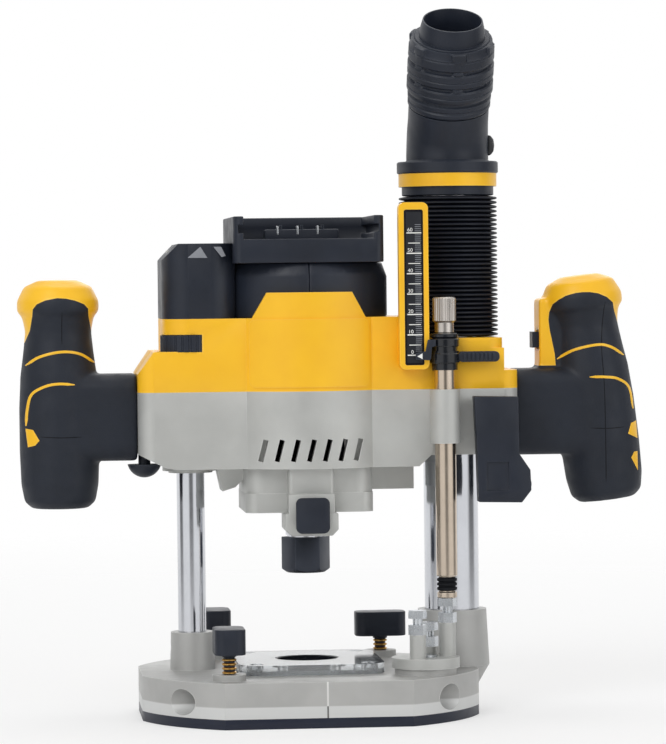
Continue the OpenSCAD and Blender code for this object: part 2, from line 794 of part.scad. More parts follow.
// Thumbwheel with ribs around its rim
module speed_dial() {
    color(plate_black) difference() {
        zcyl(dial_x, dial_y, dial_r, dial_z, dial_z + dial_h);
        zcyl(dial_x, dial_y, 1.8 + run, dial_z - 1, dial_z + dial_h + 1);
        for (a = [0 : 15 : 345]) zcyl(dial_x + (dial_r + 0.2) * cos(a), dial_y + (dial_r + 0.2) * sin(a), 0.9,
            dial_z - 1, dial_z + dial_h + 1);
    }
}

// ---- Motor ----

module stator() {
    color([0.55, 0.42, 0.3]) difference() {
        zcyl(0, 0, stator_r, seam_z - 20, seam_z + 16);
        zcyl(0, 0, rotor_r + 0.6, seam_z - 21, seam_z + 17);
        for (a = [0 : 60 : 300]) zcyl(26 * cos(a), 26 * sin(a), 3, seam_z - 21, seam_z + 17);
    }
}

module bearings() {
    color(steel) {
        tube(0, 0, low_bearing_r, spindle_r + run, flange_top, flange_top + 10);
        tube(0, 0, top_bearing_r, 4 + run, cover_z - 11, cover_z - 4);
    }
}

module bearing_bridge() {
    color(cast_grey) difference() {
        zcyl(0, 0, drum_in, cover_z - 13, cover_z - 3);
        zcyl(0, 0, top_bearing_r, cover_z - 11, cover_z - 2);
        zcyl(0, 0, 6, cover_z - 14, cover_z - 2);
        for (a = [30 : 60 : 330]) zcyl(25 * cos(a), 25 * sin(a), 6, cover_z - 14, cover_z - 2);
    }
}

module spindle() {
    color(steel) difference() {
        union() {
            zcyl(0, 0, nose_r, nut_z + 5, nut_z + nut_h + 2);
            zcyl(0, 0, spindle_r + 1.5, nut_z + nut_h + 1, lock_z - 3.2);
            translate([0, 0, lock_z - 3.2]) cylinder(r = 7.1, h = 6.4, $fn = 8);
            zcyl(0, 0, spindle_r + 1.5, lock_z + 3.2, flange_top - 0.2);
            zcyl(0, 0, spindle_r, flange_top - 0.2, housing_z - 1);
            zcyl(0, 0, 6, housing_z - 1, cover_z - 13);
            zcyl(0, 0, 4, cover_z - 13, cover_z - 4);
        }
        translate([0, 0, nut_z + 4.9]) cylinder(r1 = nose_r - 0.8, r2 = nose_r - 2.4, h = 12);
        zcyl(0, 0, nose_r - 2.4, nut_z + 16, nut_z + nut_h);
    }
}

module rotor() { color([0.3, 0.3, 0.32]) tube(0, 0, rotor_r, 6, seam_z - 20, seam_z + 16); }

module fan() {
    color(plate_black) difference() {
        union() {
            zcyl(0, 0, drum_in - 4, housing_z + 14, housing_z + 16);
            zcyl(0, 0, 10, housing_z + 6, housing_z + 16);
            for (a = [0 : 30 : 330]) rotate([0, 0, a]) translate([9, -0.8, housing_z + 5])
                cube([drum_in - 14, 1.6, 10]);
        }
        zcyl(0, 0, 6, housing_z, housing_z + 17);
    }
}

// Collet: a cone with the shank bore
module collet() {
    color(steel) difference() {
        union() {
            translate([0, 0, nut_z + 5]) cylinder(r1 = nose_r - 0.85, r2 = nose_r - 2.35, h = 11);
            zcyl(0, 0, nose_r - 0.4, nut_z + 2.6, nut_z + 4.4);
            zcyl(0, 0, nose_r - 1.2, nut_z + 4.3, nut_z + 5.1);
        }
        zcyl(0, 0, collet_r, nut_z, nut_z + 20);
    }
}

module collet_nut() {
    nut_R = nut_af / 2 / cos(30);
    color(steel) difference() {
        intersection() {
            translate([0, 0, nut_z]) cylinder(r = nut_R, h = nut_h, $fn = 6);
            translate([0, 0, nut_z]) cylinder(r1 = nut_R - 2.6, r2 = nut_R - 2.6 + nut_h * 1.4, h = nut_h);
        }
        zcyl(0, 0, collet_r + 0.4, nut_z - 1, nut_z + 3);
        zcyl(0, 0, nose_r + run, nut_z + 2.5, nut_z + nut_h + 1);
    }
}

module spindle_lock() {
    color(plate_black) yprism(-48, -42.2 - 4) rrect(-8.3, 8.3, lock_z - 4.5, lock_z + 13, 3);
    color(steel) {
        ycyl(0, lock_z, 2.5, -46.2, -spindle_r - 2.8);
        ycyl(0, lock_z, 4, -46.2, -42.4 + 4);
    }
}

// ---- Plunge lock ----

module plunge_lever() {
    color(plate_black) difference() {
        yprism(lever_y0, lever_y0 + 9) union() {
            polygon([[lever_x - 10.8, lever_z + 12.5], [lever_x + 11, lever_z + 12], [lever_x + 11.2, lever_z - 16],
                [lever_x + 16.6, lever_z - 24], [lever_x + 17, lever_z - 34], [lever_x + 12.3, lever_z - 40],
                [lever_x - 9, lever_z - 39.5], [lever_x - 9.6, lever_z - 14]]);
            translate([lever_x + 11.5, lever_z - 31]) circle(5.6);
        }
        ycyl(lever_x, lever_z, 3, lever_y0 + 2, lever_y0 + 10);
        translate([lever_x - 5, lever_y0 - 1, lever_z - 34]) cube([11, 2.5, 14]);
    }
    color(steel) ycyl(lever_x, lever_z, 3, lever_y0 + 2, arm_front + 12);
}

// ---- Depth stop ----

module depth_scale() {
    x1 = scale_x + scale_w;
    color(body_yellow) difference() {
        yprism(arm_front - 9, arm_front - 3) rrect(scale_x, x1, scale_z, scale_z + scale_h, 3);
        yprism(arm_front - 10, arm_front - 8) rrect(scale_x + 2.6, x1 - 2.4, scale_z + 2, scale_z + scale_h - 3.5, 1);
    }
    color(body_yellow) translate([scale_x + 2, arm_front - 3, scale_z + 1]) cube([scale_w - 4, 3, 24]);
    color(plate_black) yprism(arm_front - 8.6, arm_front - 8)
        rrect(scale_x + 2.6, x1 - 2.4, scale_z + 2, scale_z + scale_h - 3.5, 1);
}

module depth_rod() {
    top = seam_z + 28;
    color([0.62, 0.58, 0.5]) {
        zcyl(rod_x, rod_y, rod_r, rod_tip_z + 11, top);
        zcyl(rod_x, rod_y, rod_r - 1, rod_tip_z + 4, rod_tip_z + 11);
        zcyl(rod_x, rod_y, 2.8, rod_tip_z, rod_tip_z + 4);
        tube(rod_x, rod_y, sleeve_r, rod_r, sleeve_z, top - 0.5);
    }
    color(plate_black) for (z = [rod_tip_z + 5, rod_tip_z + 8]) tube(rod_x, rod_y, rod_r + 1, rod_r - 1, z, z + 2);
}

module adjust_knob() {
    color([0.62, 0.58, 0.5]) difference() {
        union() {
            zcyl(rod_x, rod_y, rod_r - 0.3, seam_z + 28.1, seam_z + 33);
            zcyl(rod_x, rod_y, rod_r + 0.6, seam_z + 33, seam_z + 45.4);
        }
        for (a = [0 : 20 : 340]) zcyl(rod_x + (rod_r + 0.8) * cos(a), rod_y + (rod_r + 0.8) * sin(a), 0.5,
            seam_z + 34, seam_z + 46);
    }
}

module depth_pointer() {
    y0 = arm_front - 11.2;
    color([0.9, 0.9, 0.9]) difference() {
        union() {
            yprism(y0, y0 + 1.6) polygon([[scale_x + scale_w - 8, scale_z + 7], [scale_x + scale_w - 5, scale_z + 10.5],
                [scale_x + scale_w - 2.4, scale_z + 10.5], [scale_x + scale_w - 2.4, scale_z + 11],
                [rod_x - sleeve_r + 2, scale_z + 11], [rod_x - sleeve_r + 2, scale_z + 15],
                [scale_x + scale_w - 5, scale_z + 15], [scale_x + scale_w - 7, scale_z + 11]]);
            tube(rod_x, rod_y, sleeve_r + 0.9, sleeve_r + run, scale_z + 11, scale_z + 15);
        }
        zcyl(rod_x, rod_y, sleeve_r + run, scale_z, scale_z + 20);
    }
}

module rod_clamp() {
    z0 = sleeve_z + 3.3;
    color(plate_black) difference() {
        union() {
            zcyl(rod_x, rod_y, sleeve_r + 1, z0, z0 + 6);
            translate([rod_x + 4, rod_y - 3, z0 + 0.8]) cube([23, 6, 5]);
        }
        zcyl(rod_x, rod_y, sleeve_r + run, z0 - 1, z0 + 7);
        for (i = [0 : 8]) translate([rod_x + 9 + i * 2, rod_y - 3.4, z0]) cube([0.9, 0.9, 7]);
    }
}

// ---- Handles ----

// Half outline of a grip: r against height, from the bottom to the top of the cap
function grip_profile(r) = [[0, grip_z], [r - 6, grip_z], [r - 2.2, grip_z + 3.5], [r - 0.6, grip_z + 12],
    [r, grip_z + 28], [r, grip_z + 50], [r - 0.8, grip_z + 66], [r - 2.4, grip_z + 78], [r - 3.4, grip_z + 88],
    [r - 2, grip_z + 95], [r + 0.5, grip_z + 98], [r + 0.5, grip_z + 103], [r - 3, grip_z + 110],
    [r - 10, grip_z + 113.2], [0, grip_z + 113.5]];

module grip_solid(r) { rotate_extrude() polygon(grip_profile(r)); }

module grip_hollow(r) {
    rotate_extrude() polygon([[0, grip_z + 4], [r - 7, grip_z + 4], [r - 4, grip_z + 30], [r - 4, grip_z + 60],
        [r - 7, grip_z + 88], [r - 7, grip_z + 108], [0, grip_z + 109]]);
}

module boom(x0, x1) {
    xprism(x0, x1) rrect(boom_y0, boom_y1, boom_z, boom_z + boom_h, 8);
}

module handle_bolt_holes() {
    for (z = handle_bolt_z) {
        xcyl(2, z, 3, left_end - 4, left_end + 11);
        xcyl(2, z, 3, right_end - 5, right_end + 4);
    }
}

module left_handle() {
    color(plate_black) difference() {
        union() {
            translate([left_grip_x, grip_y, 0]) grip_solid(grip_r);
            boom(left_grip_x + 4, left_end);
        }
        translate([left_grip_x, grip_y, 0]) grip_hollow(grip_r);
        handle_bolt_holes();
    }
}

module lean() {
    translate([right_grip_x, grip_y, grip_mid]) rotate([0, -right_lean, 0]) translate([0, 0, -grip_mid]) children();
}

module right_handle() {
    color(plate_black) difference() {
        union() {
            lean() grip_solid(grip_r);
            boom(right_end, right_grip_x - 4);
            // inner core that carries the lock-off button
            translate([right_grip_x - 28.5, -11, boom_z + boom_h - 1]) cube([16, 20, 36]);
        }
        lean() grip_hollow(grip_r);
        handle_bolt_holes();
        lean() translate([-8.4, 6, grip_z + 46]) cube([16.8, 30, 40]);
        translate([right_grip_x - 30, -7.3, boom_z + boom_h + 10]) cube([9, 10.6, 8.6]);
    }
}

module trigger() {
    color(plate_black) lean() translate([-8, 13, grip_z + 47]) cube([16, 12, 38]);
}

module lock_off_button() {
    color(plate_black) translate([right_grip_x - 31.5, -7, boom_z + boom_h + 10.3]) cube([7, 10, 8]);
}

// ---- Dust spout ----

module on_tilt() {
    translate([dust_x, col_y, spout_joint_z]) rotate([spout_tilt, 0, 0]) children();
}

module dust_spout() {
    color(plate_black) difference() {
        union() {
            zcyl(dust_x, col_y, spout_flange_r - 2.4, spout_z, spout_z + 4.5);
            zcyl(dust_x, col_y, spout_flange_r - 1.6, spout_z + 4.5, spout_z + 11);
            zcyl(dust_x, col_y, spout_flange_r, spout_z + 11, spout_z + 17);
            zcyl(dust_x, col_y, spout_r, spout_z + 17, spout_joint_z + 4);
            translate([dust_x, col_y, spout_joint_z + 4]) sphere(r = spout_r);
            on_tilt() cylinder(r = spout_r - 1.8, h = 58);
            on_tilt() cylinder(r = port_r + 2, h = 66.5);
            on_tilt() cylinder(r = spout_r + 0.6, h = 20.8);
            translate([dust_x + spout_r - 1, col_y - 4, spout_z + 20]) cube([4, 6, 10]);
        }
        zcyl(dust_x, col_y, dust_r, spout_z - 1, spout_z + 12);
        zcyl(dust_x, col_y, port_r - 0.6, spout_z + 11, spout_joint_z + 3);
        translate([dust_x, col_y, spout_joint_z + 3]) sphere(r = port_r - 0.6);
        on_tilt() cylinder(r = port_r - 0.6, h = 80);
        on_tilt() translate([0, 0, 46.5]) cylinder(r = port_r, h = 30);
    }
}

module spout_ring() {
    color(body_yellow) tube(dust_x, col_y, spout_flange_r - 0.8, spout_flange_r - 1.6, spout_z + 4.5, spout_z + 11);
}

module spout_collar() {
    color(plate_black) on_tilt() difference() {
        union() {
            translate([0, 0, 21]) cylinder(r = collar_r, h = 33);
            translate([0, 0, 54]) cylinder(r1 = collar_r, r2 = collar_r - 2, h = 3);
        }
        translate([0, 0, 20]) cylinder(r = spout_r - 1.8 + run, h = 50);
        for (b = [0 : 2], a = [0 : 12 : 348]) translate([(collar_r + 0.3) * cos(a), (collar_r + 0.3) * sin(a), 24 + b * 10])
            cylinder(r = 0.8, h = 7, $fn = 12);
    }
}

module bellows() {
    low = arm_right_top + 0.3;
    pitch = (spout_z - 0.3 - low) / bellows_folds;
    inner = bellows_r - 3.4;
    color([0.2, 0.21, 0.23]) translate([dust_x, col_y, 0]) rotate_extrude() polygon(concat(
        [for (i = [0 : bellows_folds - 1]) each [[inner + 1, low + i * pitch], [bellows_r, low + (i + 0.5) * pitch]]],
        [[inner + 1, spout_z - 0.3]],
        [for (i = [bellows_folds - 1 : -1 : 0]) each [[inner + 1.8, low + (i + 0.5) * pitch], [inner - 1, low + i * pitch]]]));
}

sole_plate();
base_casting();
base_front_rail();
base_rear_rail();
base_screws();
chip_shield();
left_column();
dust_column();
plunge_spring();
bellows();
dust_spout();
spout_ring();
spout_collar();
clamp_knob_front();
clamp_knob_rear_left();
clamp_knob_rear_right();
clamp_springs();
turret_disc();
turret_pivot();
stop_screw_high();
stop_screw_middle();
stop_screw_low();
stop_nuts();
lower_housing();
front_cover();
rear_cover();
label_plate();
bearing_flange();
housing_screws();
lock_guard();
work_lights();
guide_tube();
column_bushes();
top_shell_left();
top_shell_right();
battery_mount();
battery_contacts();
control_pod();
electronics();
speed_dial();
stator();
bearings();
bearing_bridge();
boom_plug();
spindle();
rotor();
fan();
collet();
collet_nut();
spindle_lock();
plunge_lever();
depth_scale();
depth_rod();
adjust_knob();
depth_pointer();
rod_clamp();
left_handle();
right_handle();
trigger();
lock_off_button();
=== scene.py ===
"""Looks of the plunge router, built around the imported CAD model. Lengths are in millimetres unless said."""

import json
import math

import bmesh
import bpy
from mathutils import Matrix, Vector
from mathutils.bvhtree import BVHTree


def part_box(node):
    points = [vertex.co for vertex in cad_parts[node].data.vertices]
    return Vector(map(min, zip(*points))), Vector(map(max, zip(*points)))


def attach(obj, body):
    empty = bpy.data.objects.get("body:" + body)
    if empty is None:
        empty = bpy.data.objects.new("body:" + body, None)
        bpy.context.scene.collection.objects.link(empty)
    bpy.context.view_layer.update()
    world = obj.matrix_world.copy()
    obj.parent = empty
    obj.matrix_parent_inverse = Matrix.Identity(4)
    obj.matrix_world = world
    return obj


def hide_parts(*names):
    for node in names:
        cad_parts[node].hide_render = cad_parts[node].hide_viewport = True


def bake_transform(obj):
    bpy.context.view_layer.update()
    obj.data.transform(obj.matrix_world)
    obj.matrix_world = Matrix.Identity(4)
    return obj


MM = 0.001

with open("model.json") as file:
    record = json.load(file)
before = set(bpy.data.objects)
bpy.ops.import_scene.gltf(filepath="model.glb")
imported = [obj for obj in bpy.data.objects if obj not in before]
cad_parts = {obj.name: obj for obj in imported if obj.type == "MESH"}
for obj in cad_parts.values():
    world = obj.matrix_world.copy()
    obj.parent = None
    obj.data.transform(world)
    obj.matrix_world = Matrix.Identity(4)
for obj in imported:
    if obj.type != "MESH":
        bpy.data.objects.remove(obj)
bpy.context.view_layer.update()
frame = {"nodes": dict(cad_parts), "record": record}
cad = frame["nodes"]

# ---------------------------------------------------------------- camera

VIEW_AZIMUTH = math.radians(5.0)
VIEW_DISTANCE = 2.0
VIEW_SIDE = 0.01365
VIEW_HEIGHT = 0.2165
AIM_SIDE = 0.0147
AIM_HEIGHT = 0.17035
VIEW_ROLL = math.radians(-0.66)
SENSOR = 36.0
FOCAL = 193.55


def place_camera():
    side = Vector((math.cos(VIEW_AZIMUTH), -math.sin(VIEW_AZIMUTH), 0))
    depth = Vector((math.sin(VIEW_AZIMUTH), math.cos(VIEW_AZIMUTH), 0))
    eye = side * VIEW_SIDE - depth * VIEW_DISTANCE + Vector((0, 0, VIEW_HEIGHT))
    aim = side * AIM_SIDE + Vector((0, 0, AIM_HEIGHT))
    data = bpy.data.cameras.new("view")
    data.sensor_fit = "VERTICAL"
    data.sensor_height = SENSOR
    data.lens = FOCAL
    camera = bpy.data.objects.new("view", data)
    bpy.context.scene.collection.objects.link(camera)
    turn = (aim - eye).to_track_quat("-Z", "Y").to_matrix()
    turn = turn @ Matrix.Rotation(VIEW_ROLL, 3, "Z")
    camera.matrix_world = Matrix.Translation(eye) @ turn.to_4x4()
    bpy.context.scene.camera = camera


place_camera()

# ---------------------------------------------------------------- materials


def linear(rgb):
    values = [c / 255 for c in rgb]
    return [v / 12.92 if v < 0.04 else ((v + 0.055) / 1.055) ** 2.4 for v in values] + [1.0]


def scaled(rgb, k):
    return [min(255, c * k) for c in rgb]


class Graph:
    """A material's node tree, with short ways to add and join nodes."""

    def __init__(self, name):
        self.material = bpy.data.materials.new(name)
        self.material.use_nodes = True
        self.tree = self.material.node_tree
        self.tree.nodes.clear()
        self.shader = self.add("BsdfPrincipled")
        self.out = self.add("OutputMaterial")
        self.join(self.shader.outputs["BSDF"], self.out.inputs["Surface"])
        self.place = self.add("TexCoord").outputs["Object"]

    def add(self, kind, **values):
        node = self.tree.nodes.new("ShaderNode" + kind)
        for key, value in values.items():
            setattr(node, key, value)
        return node

    def join(self, source, target):
        self.tree.links.new(source, target)

    def noise(self, scale, stretch=(1, 1, 1), detail=3.0):
        mapping = self.add("Mapping")
        mapping.inputs["Scale"].default_value = stretch
        self.join(self.place, mapping.inputs["Vector"])
        noise = self.add("TexNoise")
        noise.inputs["Scale"].default_value = scale
        noise.inputs["Detail"].default_value = detail
        self.join(mapping.outputs["Vector"], noise.inputs["Vector"])
        return noise.outputs["Fac"]

    def ramp(self, source, stops):
        ramp = self.add("ValToRGB")
        elements = ramp.color_ramp.elements
        for element, (at, colour) in zip(elements, stops):
            element.position = at
            element.color = colour
        for at, colour in stops[2:]:
            elements.new(at).color = colour
        self.join(source, ramp.inputs["Fac"])
        return ramp.outputs["Color"]

    def ranged(self, source, low, high, to_low, to_high):
        node = self.add("MapRange")
        for key, value in (("From Min", low), ("From Max", high), ("To Min", to_low), ("To Max", to_high)):
            node.inputs[key].default_value = value
        self.join(source, node.inputs["Value"])
        return node.outputs["Result"]

    def edges(self, width):
        """1 along edges and 0 on flats."""
        bevel = self.add("Bevel", samples=4)
        bevel.inputs["Radius"].default_value = width
        dot = self.add("VectorMath", operation="DOT_PRODUCT")
        self.join(bevel.outputs["Normal"], dot.inputs[0])
        self.join(self.add("NewGeometry").outputs["Normal"], dot.inputs[1])
        return self.ranged(dot.outputs["Value"], 0.99, 0.8, 0.0, 1.0)

    def mix(self, factor, first, second):
        node = self.add("Mix", data_type="RGBA")
        self.join(factor, node.inputs[0])
        for socket, value in ((node.inputs[6], first), (node.inputs[7], second)):
            if isinstance(value, list):
                socket.default_value = value
            else:
                self.join(value, socket)
        return node.outputs[2]


def machined_band(g, colour, rgb):
    """Lightens the foot of the base and draws the centre mark of its front face."""
    axes = g.add("SeparateXYZ")
    g.join(g.place, axes.inputs[0])
    colour = g.mix(g.ranged(axes.outputs["Z"], BAND_TOP * MM, (BAND_TOP + BAND_FADE) * MM, 1.0, 0.0), colour, linear(rgb))
    offset = g.add("Math", operation="SUBTRACT")
    offset.inputs[1].default_value = MARK_SIDE * MM
    g.join(axes.outputs["X"], offset.inputs[0])
    size = g.add("Math", operation="ABSOLUTE")
    g.join(offset.outputs[0], size.inputs[0])
    near = g.ranged(size.outputs[0], 0.0003, 0.0005, 1.0, 0.0)
    face = g.ranged(axes.outputs["Y"], (FRONT_FLAT - 0.4) * MM, FRONT_FLAT * MM, 1.0, 0.0)
    both = g.add("Math", operation="MULTIPLY")
    g.join(near, both.inputs[0])
    g.join(face, both.inputs[1])
    tone = g.ramp(g.ranged(axes.outputs["Z"], BAND_TOP * MM, (BAND_TOP + BAND_FADE) * MM, 0.0, 1.0),
                  [(0.4, linear((104, 104, 102))), (0.6, linear((226, 226, 224)))])
    return g.mix(both.outputs[0], colour, tone)


def surface(name, rgb, rough, metal=0.0, spread=0.05, patch=45, grain=1800, strength=0.15,
            depth=0.00006, stretch=(1, 1, 1), wear=None, wear_width=0.0006, coat=0.0,
            specular=0.5, band=None):
    g = Graph(name)
    stops = [(0.3, linear(scaled(rgb, 1 - spread))), (0.7, linear(scaled(rgb, 1 + spread)))]
    colour = g.ramp(g.noise(patch), stops)
    if wear:
        colour = g.mix(g.edges(wear_width), colour, linear(wear))
    if band:
        colour = machined_band(g, colour, band)
    g.join(colour, g.shader.inputs["Base Color"])
    g.join(g.ranged(g.noise(patch * 3), 0.3, 0.7, rough * 0.85, rough * 1.15), g.shader.inputs["Roughness"])
    bump = g.add("Bump")
    bump.inputs["Strength"].default_value = strength
    bump.inputs["Distance"].default_value = depth
    g.join(g.noise(grain, stretch, 2.0), bump.inputs["Height"])
    g.join(bump.outputs["Normal"], g.shader.inputs["Normal"])
    g.shader.inputs["Metallic"].default_value = metal
    g.shader.inputs["Coat Weight"].default_value = coat
    g.shader.inputs["Specular IOR Level"].default_value = specular
    return g.material


def clear_surface(name, rgb, rough):
    g = Graph(name)
    stops = [(0.3, linear(scaled(rgb, 0.97))), (0.7, linear(rgb))]
    g.join(g.ramp(g.noise(60), stops), g.shader.inputs["Base Color"])
    g.join(g.ranged(g.noise(90), 0.3, 0.7, rough * 0.7, rough * 1.4), g.shader.inputs["Roughness"])
    g.shader.inputs["Transmission Weight"].default_value = 0.8
    g.shader.inputs["IOR"].default_value = 1.45
    return g.material


MARK_SIDE = 4.0
BAND_TOP = 10.4
BAND_FADE = 0.6
FRONT_FLAT = -73.2
ALONG = (1, 1, 0.02)
AROUND = (0.02, 0.02, 1)

CAST = {"rough": 0.46, "metal": 0.3, "spread": 0.03, "grain": 2200, "strength": 0.8, "wear": (214, 214, 212)}

look = {
    "sole": surface("sole", (32, 37, 52), 0.36, grain=900, strength=0.1, wear=(70, 76, 92), coat=0.1,
                    specular=0.3),
    "cast": surface("cast", (184, 185, 182), **CAST),
    "base_cast": surface("base_cast", (178, 178, 176), band=(214, 215, 214), **CAST),
    "clear": clear_surface("clear", (240, 243, 245), 0.06),
    "steel": surface("steel", (206, 208, 213), 0.13, metal=1.0, spread=0.02, grain=3500, strength=0.12,
                     stretch=ALONG),
    "zinc": surface("zinc", (196, 200, 204), 0.26, metal=1.0, spread=0.05, patch=120, grain=3000,
                    strength=0.1, wear=(228, 229, 231), wear_width=0.0003),
    "brass": surface("brass", (190, 150, 84), 0.28, metal=1.0, patch=140, grain=3000, stretch=AROUND,
                     strength=0.2),
    "nickel": surface("nickel", (196, 182, 166), 0.2, metal=1.0, spread=0.03, grain=3200, strength=0.15,
                      stretch=ALONG, wear=(226, 216, 204), wear_width=0.0003),
    "satin": surface("satin", (186, 180, 174), 0.3, metal=1.0, spread=0.03, grain=3200, strength=0.15,
                     stretch=ALONG, wear=(226, 222, 216), wear_width=0.0003),
    "black": surface("black", (32, 37, 48), 0.44, spread=0.08, grain=2400, strength=0.4, wear=(58, 63, 73),
                     wear_width=0.0008, specular=0.32),
    "yellow": surface("yellow", (255, 193, 36), 0.36, spread=0.025, grain=2200, strength=0.18,
                      wear=(255, 204, 84), wear_width=0.0008, specular=0.4),
    "bellows": surface("bellows", (20, 24, 34), 0.5, spread=0.08, grain=2000, strength=0.2, specular=0.3),
    "copper": surface("copper", (176, 108, 70), 0.35, metal=1.0),
    "board": surface("board", (40, 74, 54), 0.6),
    "lamp": surface("lamp", (236, 234, 220), 0.25, coat=0.6),
    "white": surface("white", (236, 236, 232), 0.5),
    "rubber": surface("rubber", (29, 34, 44), 0.56, spread=0.07, grain=1500, strength=0.5, depth=0.0001,
                      specular=0.32),
    "dark_steel": surface("dark_steel", (58, 62, 71), 0.34, metal=0.8, spread=0.06, grain=2600, strength=0.2,
                          wear=(112, 117, 126), wear_width=0.0005),
    "strip": surface("strip", (30, 32, 38), 0.42, grain=2000, strength=0.1, specular=0.3),
    "fine_mark": surface("fine_mark", (142, 145, 152), 0.5),
    # Near-black: the real black of the depth rod's ribbed foot, and painted shade on the grip crease lines and round
    # the depth scale strip.
    "recess": surface("recess", (14, 16, 21), 0.7, specular=0.2),
    "gloss": surface("gloss", (20, 23, 29), 0.16, grain=1200, strength=0.05),
}


def slot_of(node):
    for part in frame["record"]["subparts"]:
        if part.get("name") == node or part.get("node") == node:
            return part["material_slot"]
    return "black"


def dress(piece, material):
    piece.data.materials.clear()
    piece.data.materials.append(look[material])


SPECIAL = {"collet_nut": "dark_steel", "spindle_lock": "dark_steel", "depth_pointer": "black",
           "battery_contacts": "dark_steel"}
for node_name, node_object in cad.items():
    dress(node_object, SPECIAL.get(node_name, slot_of(node_name)))

# ---------------------------------------------------------------- building pieces


def put(name, mesh, body, material, smooth=35.0):
    piece = bpy.data.objects.new(name, mesh)
    bpy.context.scene.collection.objects.link(piece)
    dress(piece, material)
    for face in mesh.polygons:
        face.use_smooth = True
    mesh.set_sharp_from_angle(angle=math.radians(smooth))
    if body:
        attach(piece, body)
    return piece


def baked(piece):
    """The piece's mesh with its modifiers applied."""
    bpy.context.view_layer.update()
    graph = bpy.context.evaluated_depsgraph_get()
    mesh = bpy.data.meshes.new_from_object(piece.evaluated_get(graph))
    piece.modifiers.clear()
    old = piece.data
    piece.data = mesh
    bpy.data.meshes.remove(old)
    return piece


def loose_copy(node):
    """A welded copy of a CAD node's mesh, in an object that rides on nothing yet."""
    mesh = cad[node].data.copy()
    form = bmesh.new()
    form.from_mesh(mesh)
    bmesh.ops.remove_doubles(form, verts=form.verts, dist=0.000002)
    form.to_mesh(mesh)
    form.free()
    piece = bpy.data.objects.new(node + "_work", mesh)
    bpy.context.scene.collection.objects.link(piece)
    return piece


def flattened(piece, angle):
    form = bmesh.new()
    form.from_mesh(piece.data)
    bmesh.ops.remove_doubles(form, verts=form.verts, dist=0.000002)
    bmesh.ops.dissolve_limit(form, angle_limit=math.radians(angle), verts=form.verts, edges=form.edges)
    form.to_mesh(piece.data)
    form.free()


def joined(piece, other, operation="UNION"):
    cut = piece.modifiers.new("join", "BOOLEAN")
    cut.operation = operation
    cut.solver = "EXACT"
    cut.object = other
    baked(piece)


def drop(piece):
    bpy.data.objects.remove(piece)


def finish_piece(piece, name, body, material, smooth=35.0):
    mesh = piece.data
    drop(piece)
    mesh.name = name
    return put(name, mesh, body, material, smooth)


def rounded(name, nodes, body, material, width, segments=2, angle=32.0):
    """A copy of CAD nodes whose edges are rounded, standing for them."""
    piece = loose_copy(nodes[0])
    for other_name in nodes[1:]:
        other = loose_copy(other_name)
        joined(piece, other)
        drop(other)
    flattened(piece, 0.3)
    bevel = piece.modifiers.new("round", "BEVEL")
    bevel.limit_method = "ANGLE"
    bevel.angle_limit = math.radians(angle)
    bevel.width = width * MM
    bevel.segments = segments
    bevel.use_clamp_overlap = True
    bevel.harden_normals = False
    weigh = piece.modifiers.new("weigh", "WEIGHTED_NORMAL")
    weigh.keep_sharp = True
    baked(piece)
    piece = finish_piece(piece, name, body, material, 50.0)
    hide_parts(*nodes)
    return piece


ROUNDED = (
    ("base_look", ("base_casting", "base_front_rail", "base_rear_rail"), "base", "base_cast", 0.7),
    ("sole_look", ("sole_plate",), "base", "sole", 0.5),
    ("housing_look", ("lower_housing",), "motor", "cast", 0.9),
    ("front_cover_look", ("front_cover",), "motor", "yellow", 0.9),
    ("rear_cover_look", ("rear_cover",), "motor", "yellow", 0.9),
    ("bearing_flange_look", ("bearing_flange",), "motor", "cast", 0.6),
    ("lock_guard_look", ("lock_guard",), "motor", "cast", 0.6),
    ("shell_left_look", ("top_shell_left",), "motor", "black", 0.8),
    ("shell_right_look", ("top_shell_right",), "motor", "black", 0.8),
    ("mount_look", ("battery_mount",), "motor", "black", 0.6),
    ("pod_look", ("control_pod",), "motor", "black", 1.2),
    ("lever_look", ("plunge_lever",), "plunge_lever", "black", 0.9),
    ("lock_look", ("spindle_lock",), "spindle_lock", "black", 0.5),
    ("nut_look", ("collet_nut",), "collet_nut", "dark_steel", 0.5),
    ("clamp_front_look", ("clamp_knob_front",), "clamp_front", "black", 0.8),
    ("clamp_rear_left_look", ("clamp_knob_rear_left",), "clamp_rear_left", "black", 0.8),
    ("clamp_rear_right_look", ("clamp_knob_rear_right",), "clamp_rear_right", "black", 0.8),
)
for entry in ROUNDED:
    rounded(*entry)

# ---------------------------------------------------------------- handles


def outer_shell(piece):
    """Keeps the island with the largest box, so that no inner wall is left."""
    form = bmesh.new()
    form.from_mesh(piece.data)
    left = set(form.verts)
    islands = []
    while left:
        stack = [left.pop()]
        island = set(stack)
        while stack:
            for edge in stack.pop().link_edges:
                for vert in edge.verts:
                    if vert in left:
                        left.discard(vert)
                        island.add(vert)
                        stack.append(vert)
        islands.append(island)
    keep = max(islands, key=lambda i: max(v.co.z for v in i) - min(v.co.z for v in i))
    bmesh.ops.delete(form, geom=[v for v in form.verts if v not in keep], context="VERTS")
    form.to_mesh(piece.data)
    form.free()


def organic(node, voxel, steps):
    piece = loose_copy(node)
    remesh = piece.modifiers.new("remesh", "REMESH")
    remesh.mode = "VOXEL"
    remesh.voxel_size = voxel * MM
    baked(piece)
    outer_shell(piece)
    smooth = piece.modifiers.new("smooth", "SMOOTH")
    smooth.factor = 0.5
    smooth.iterations = steps
    return baked(piece)


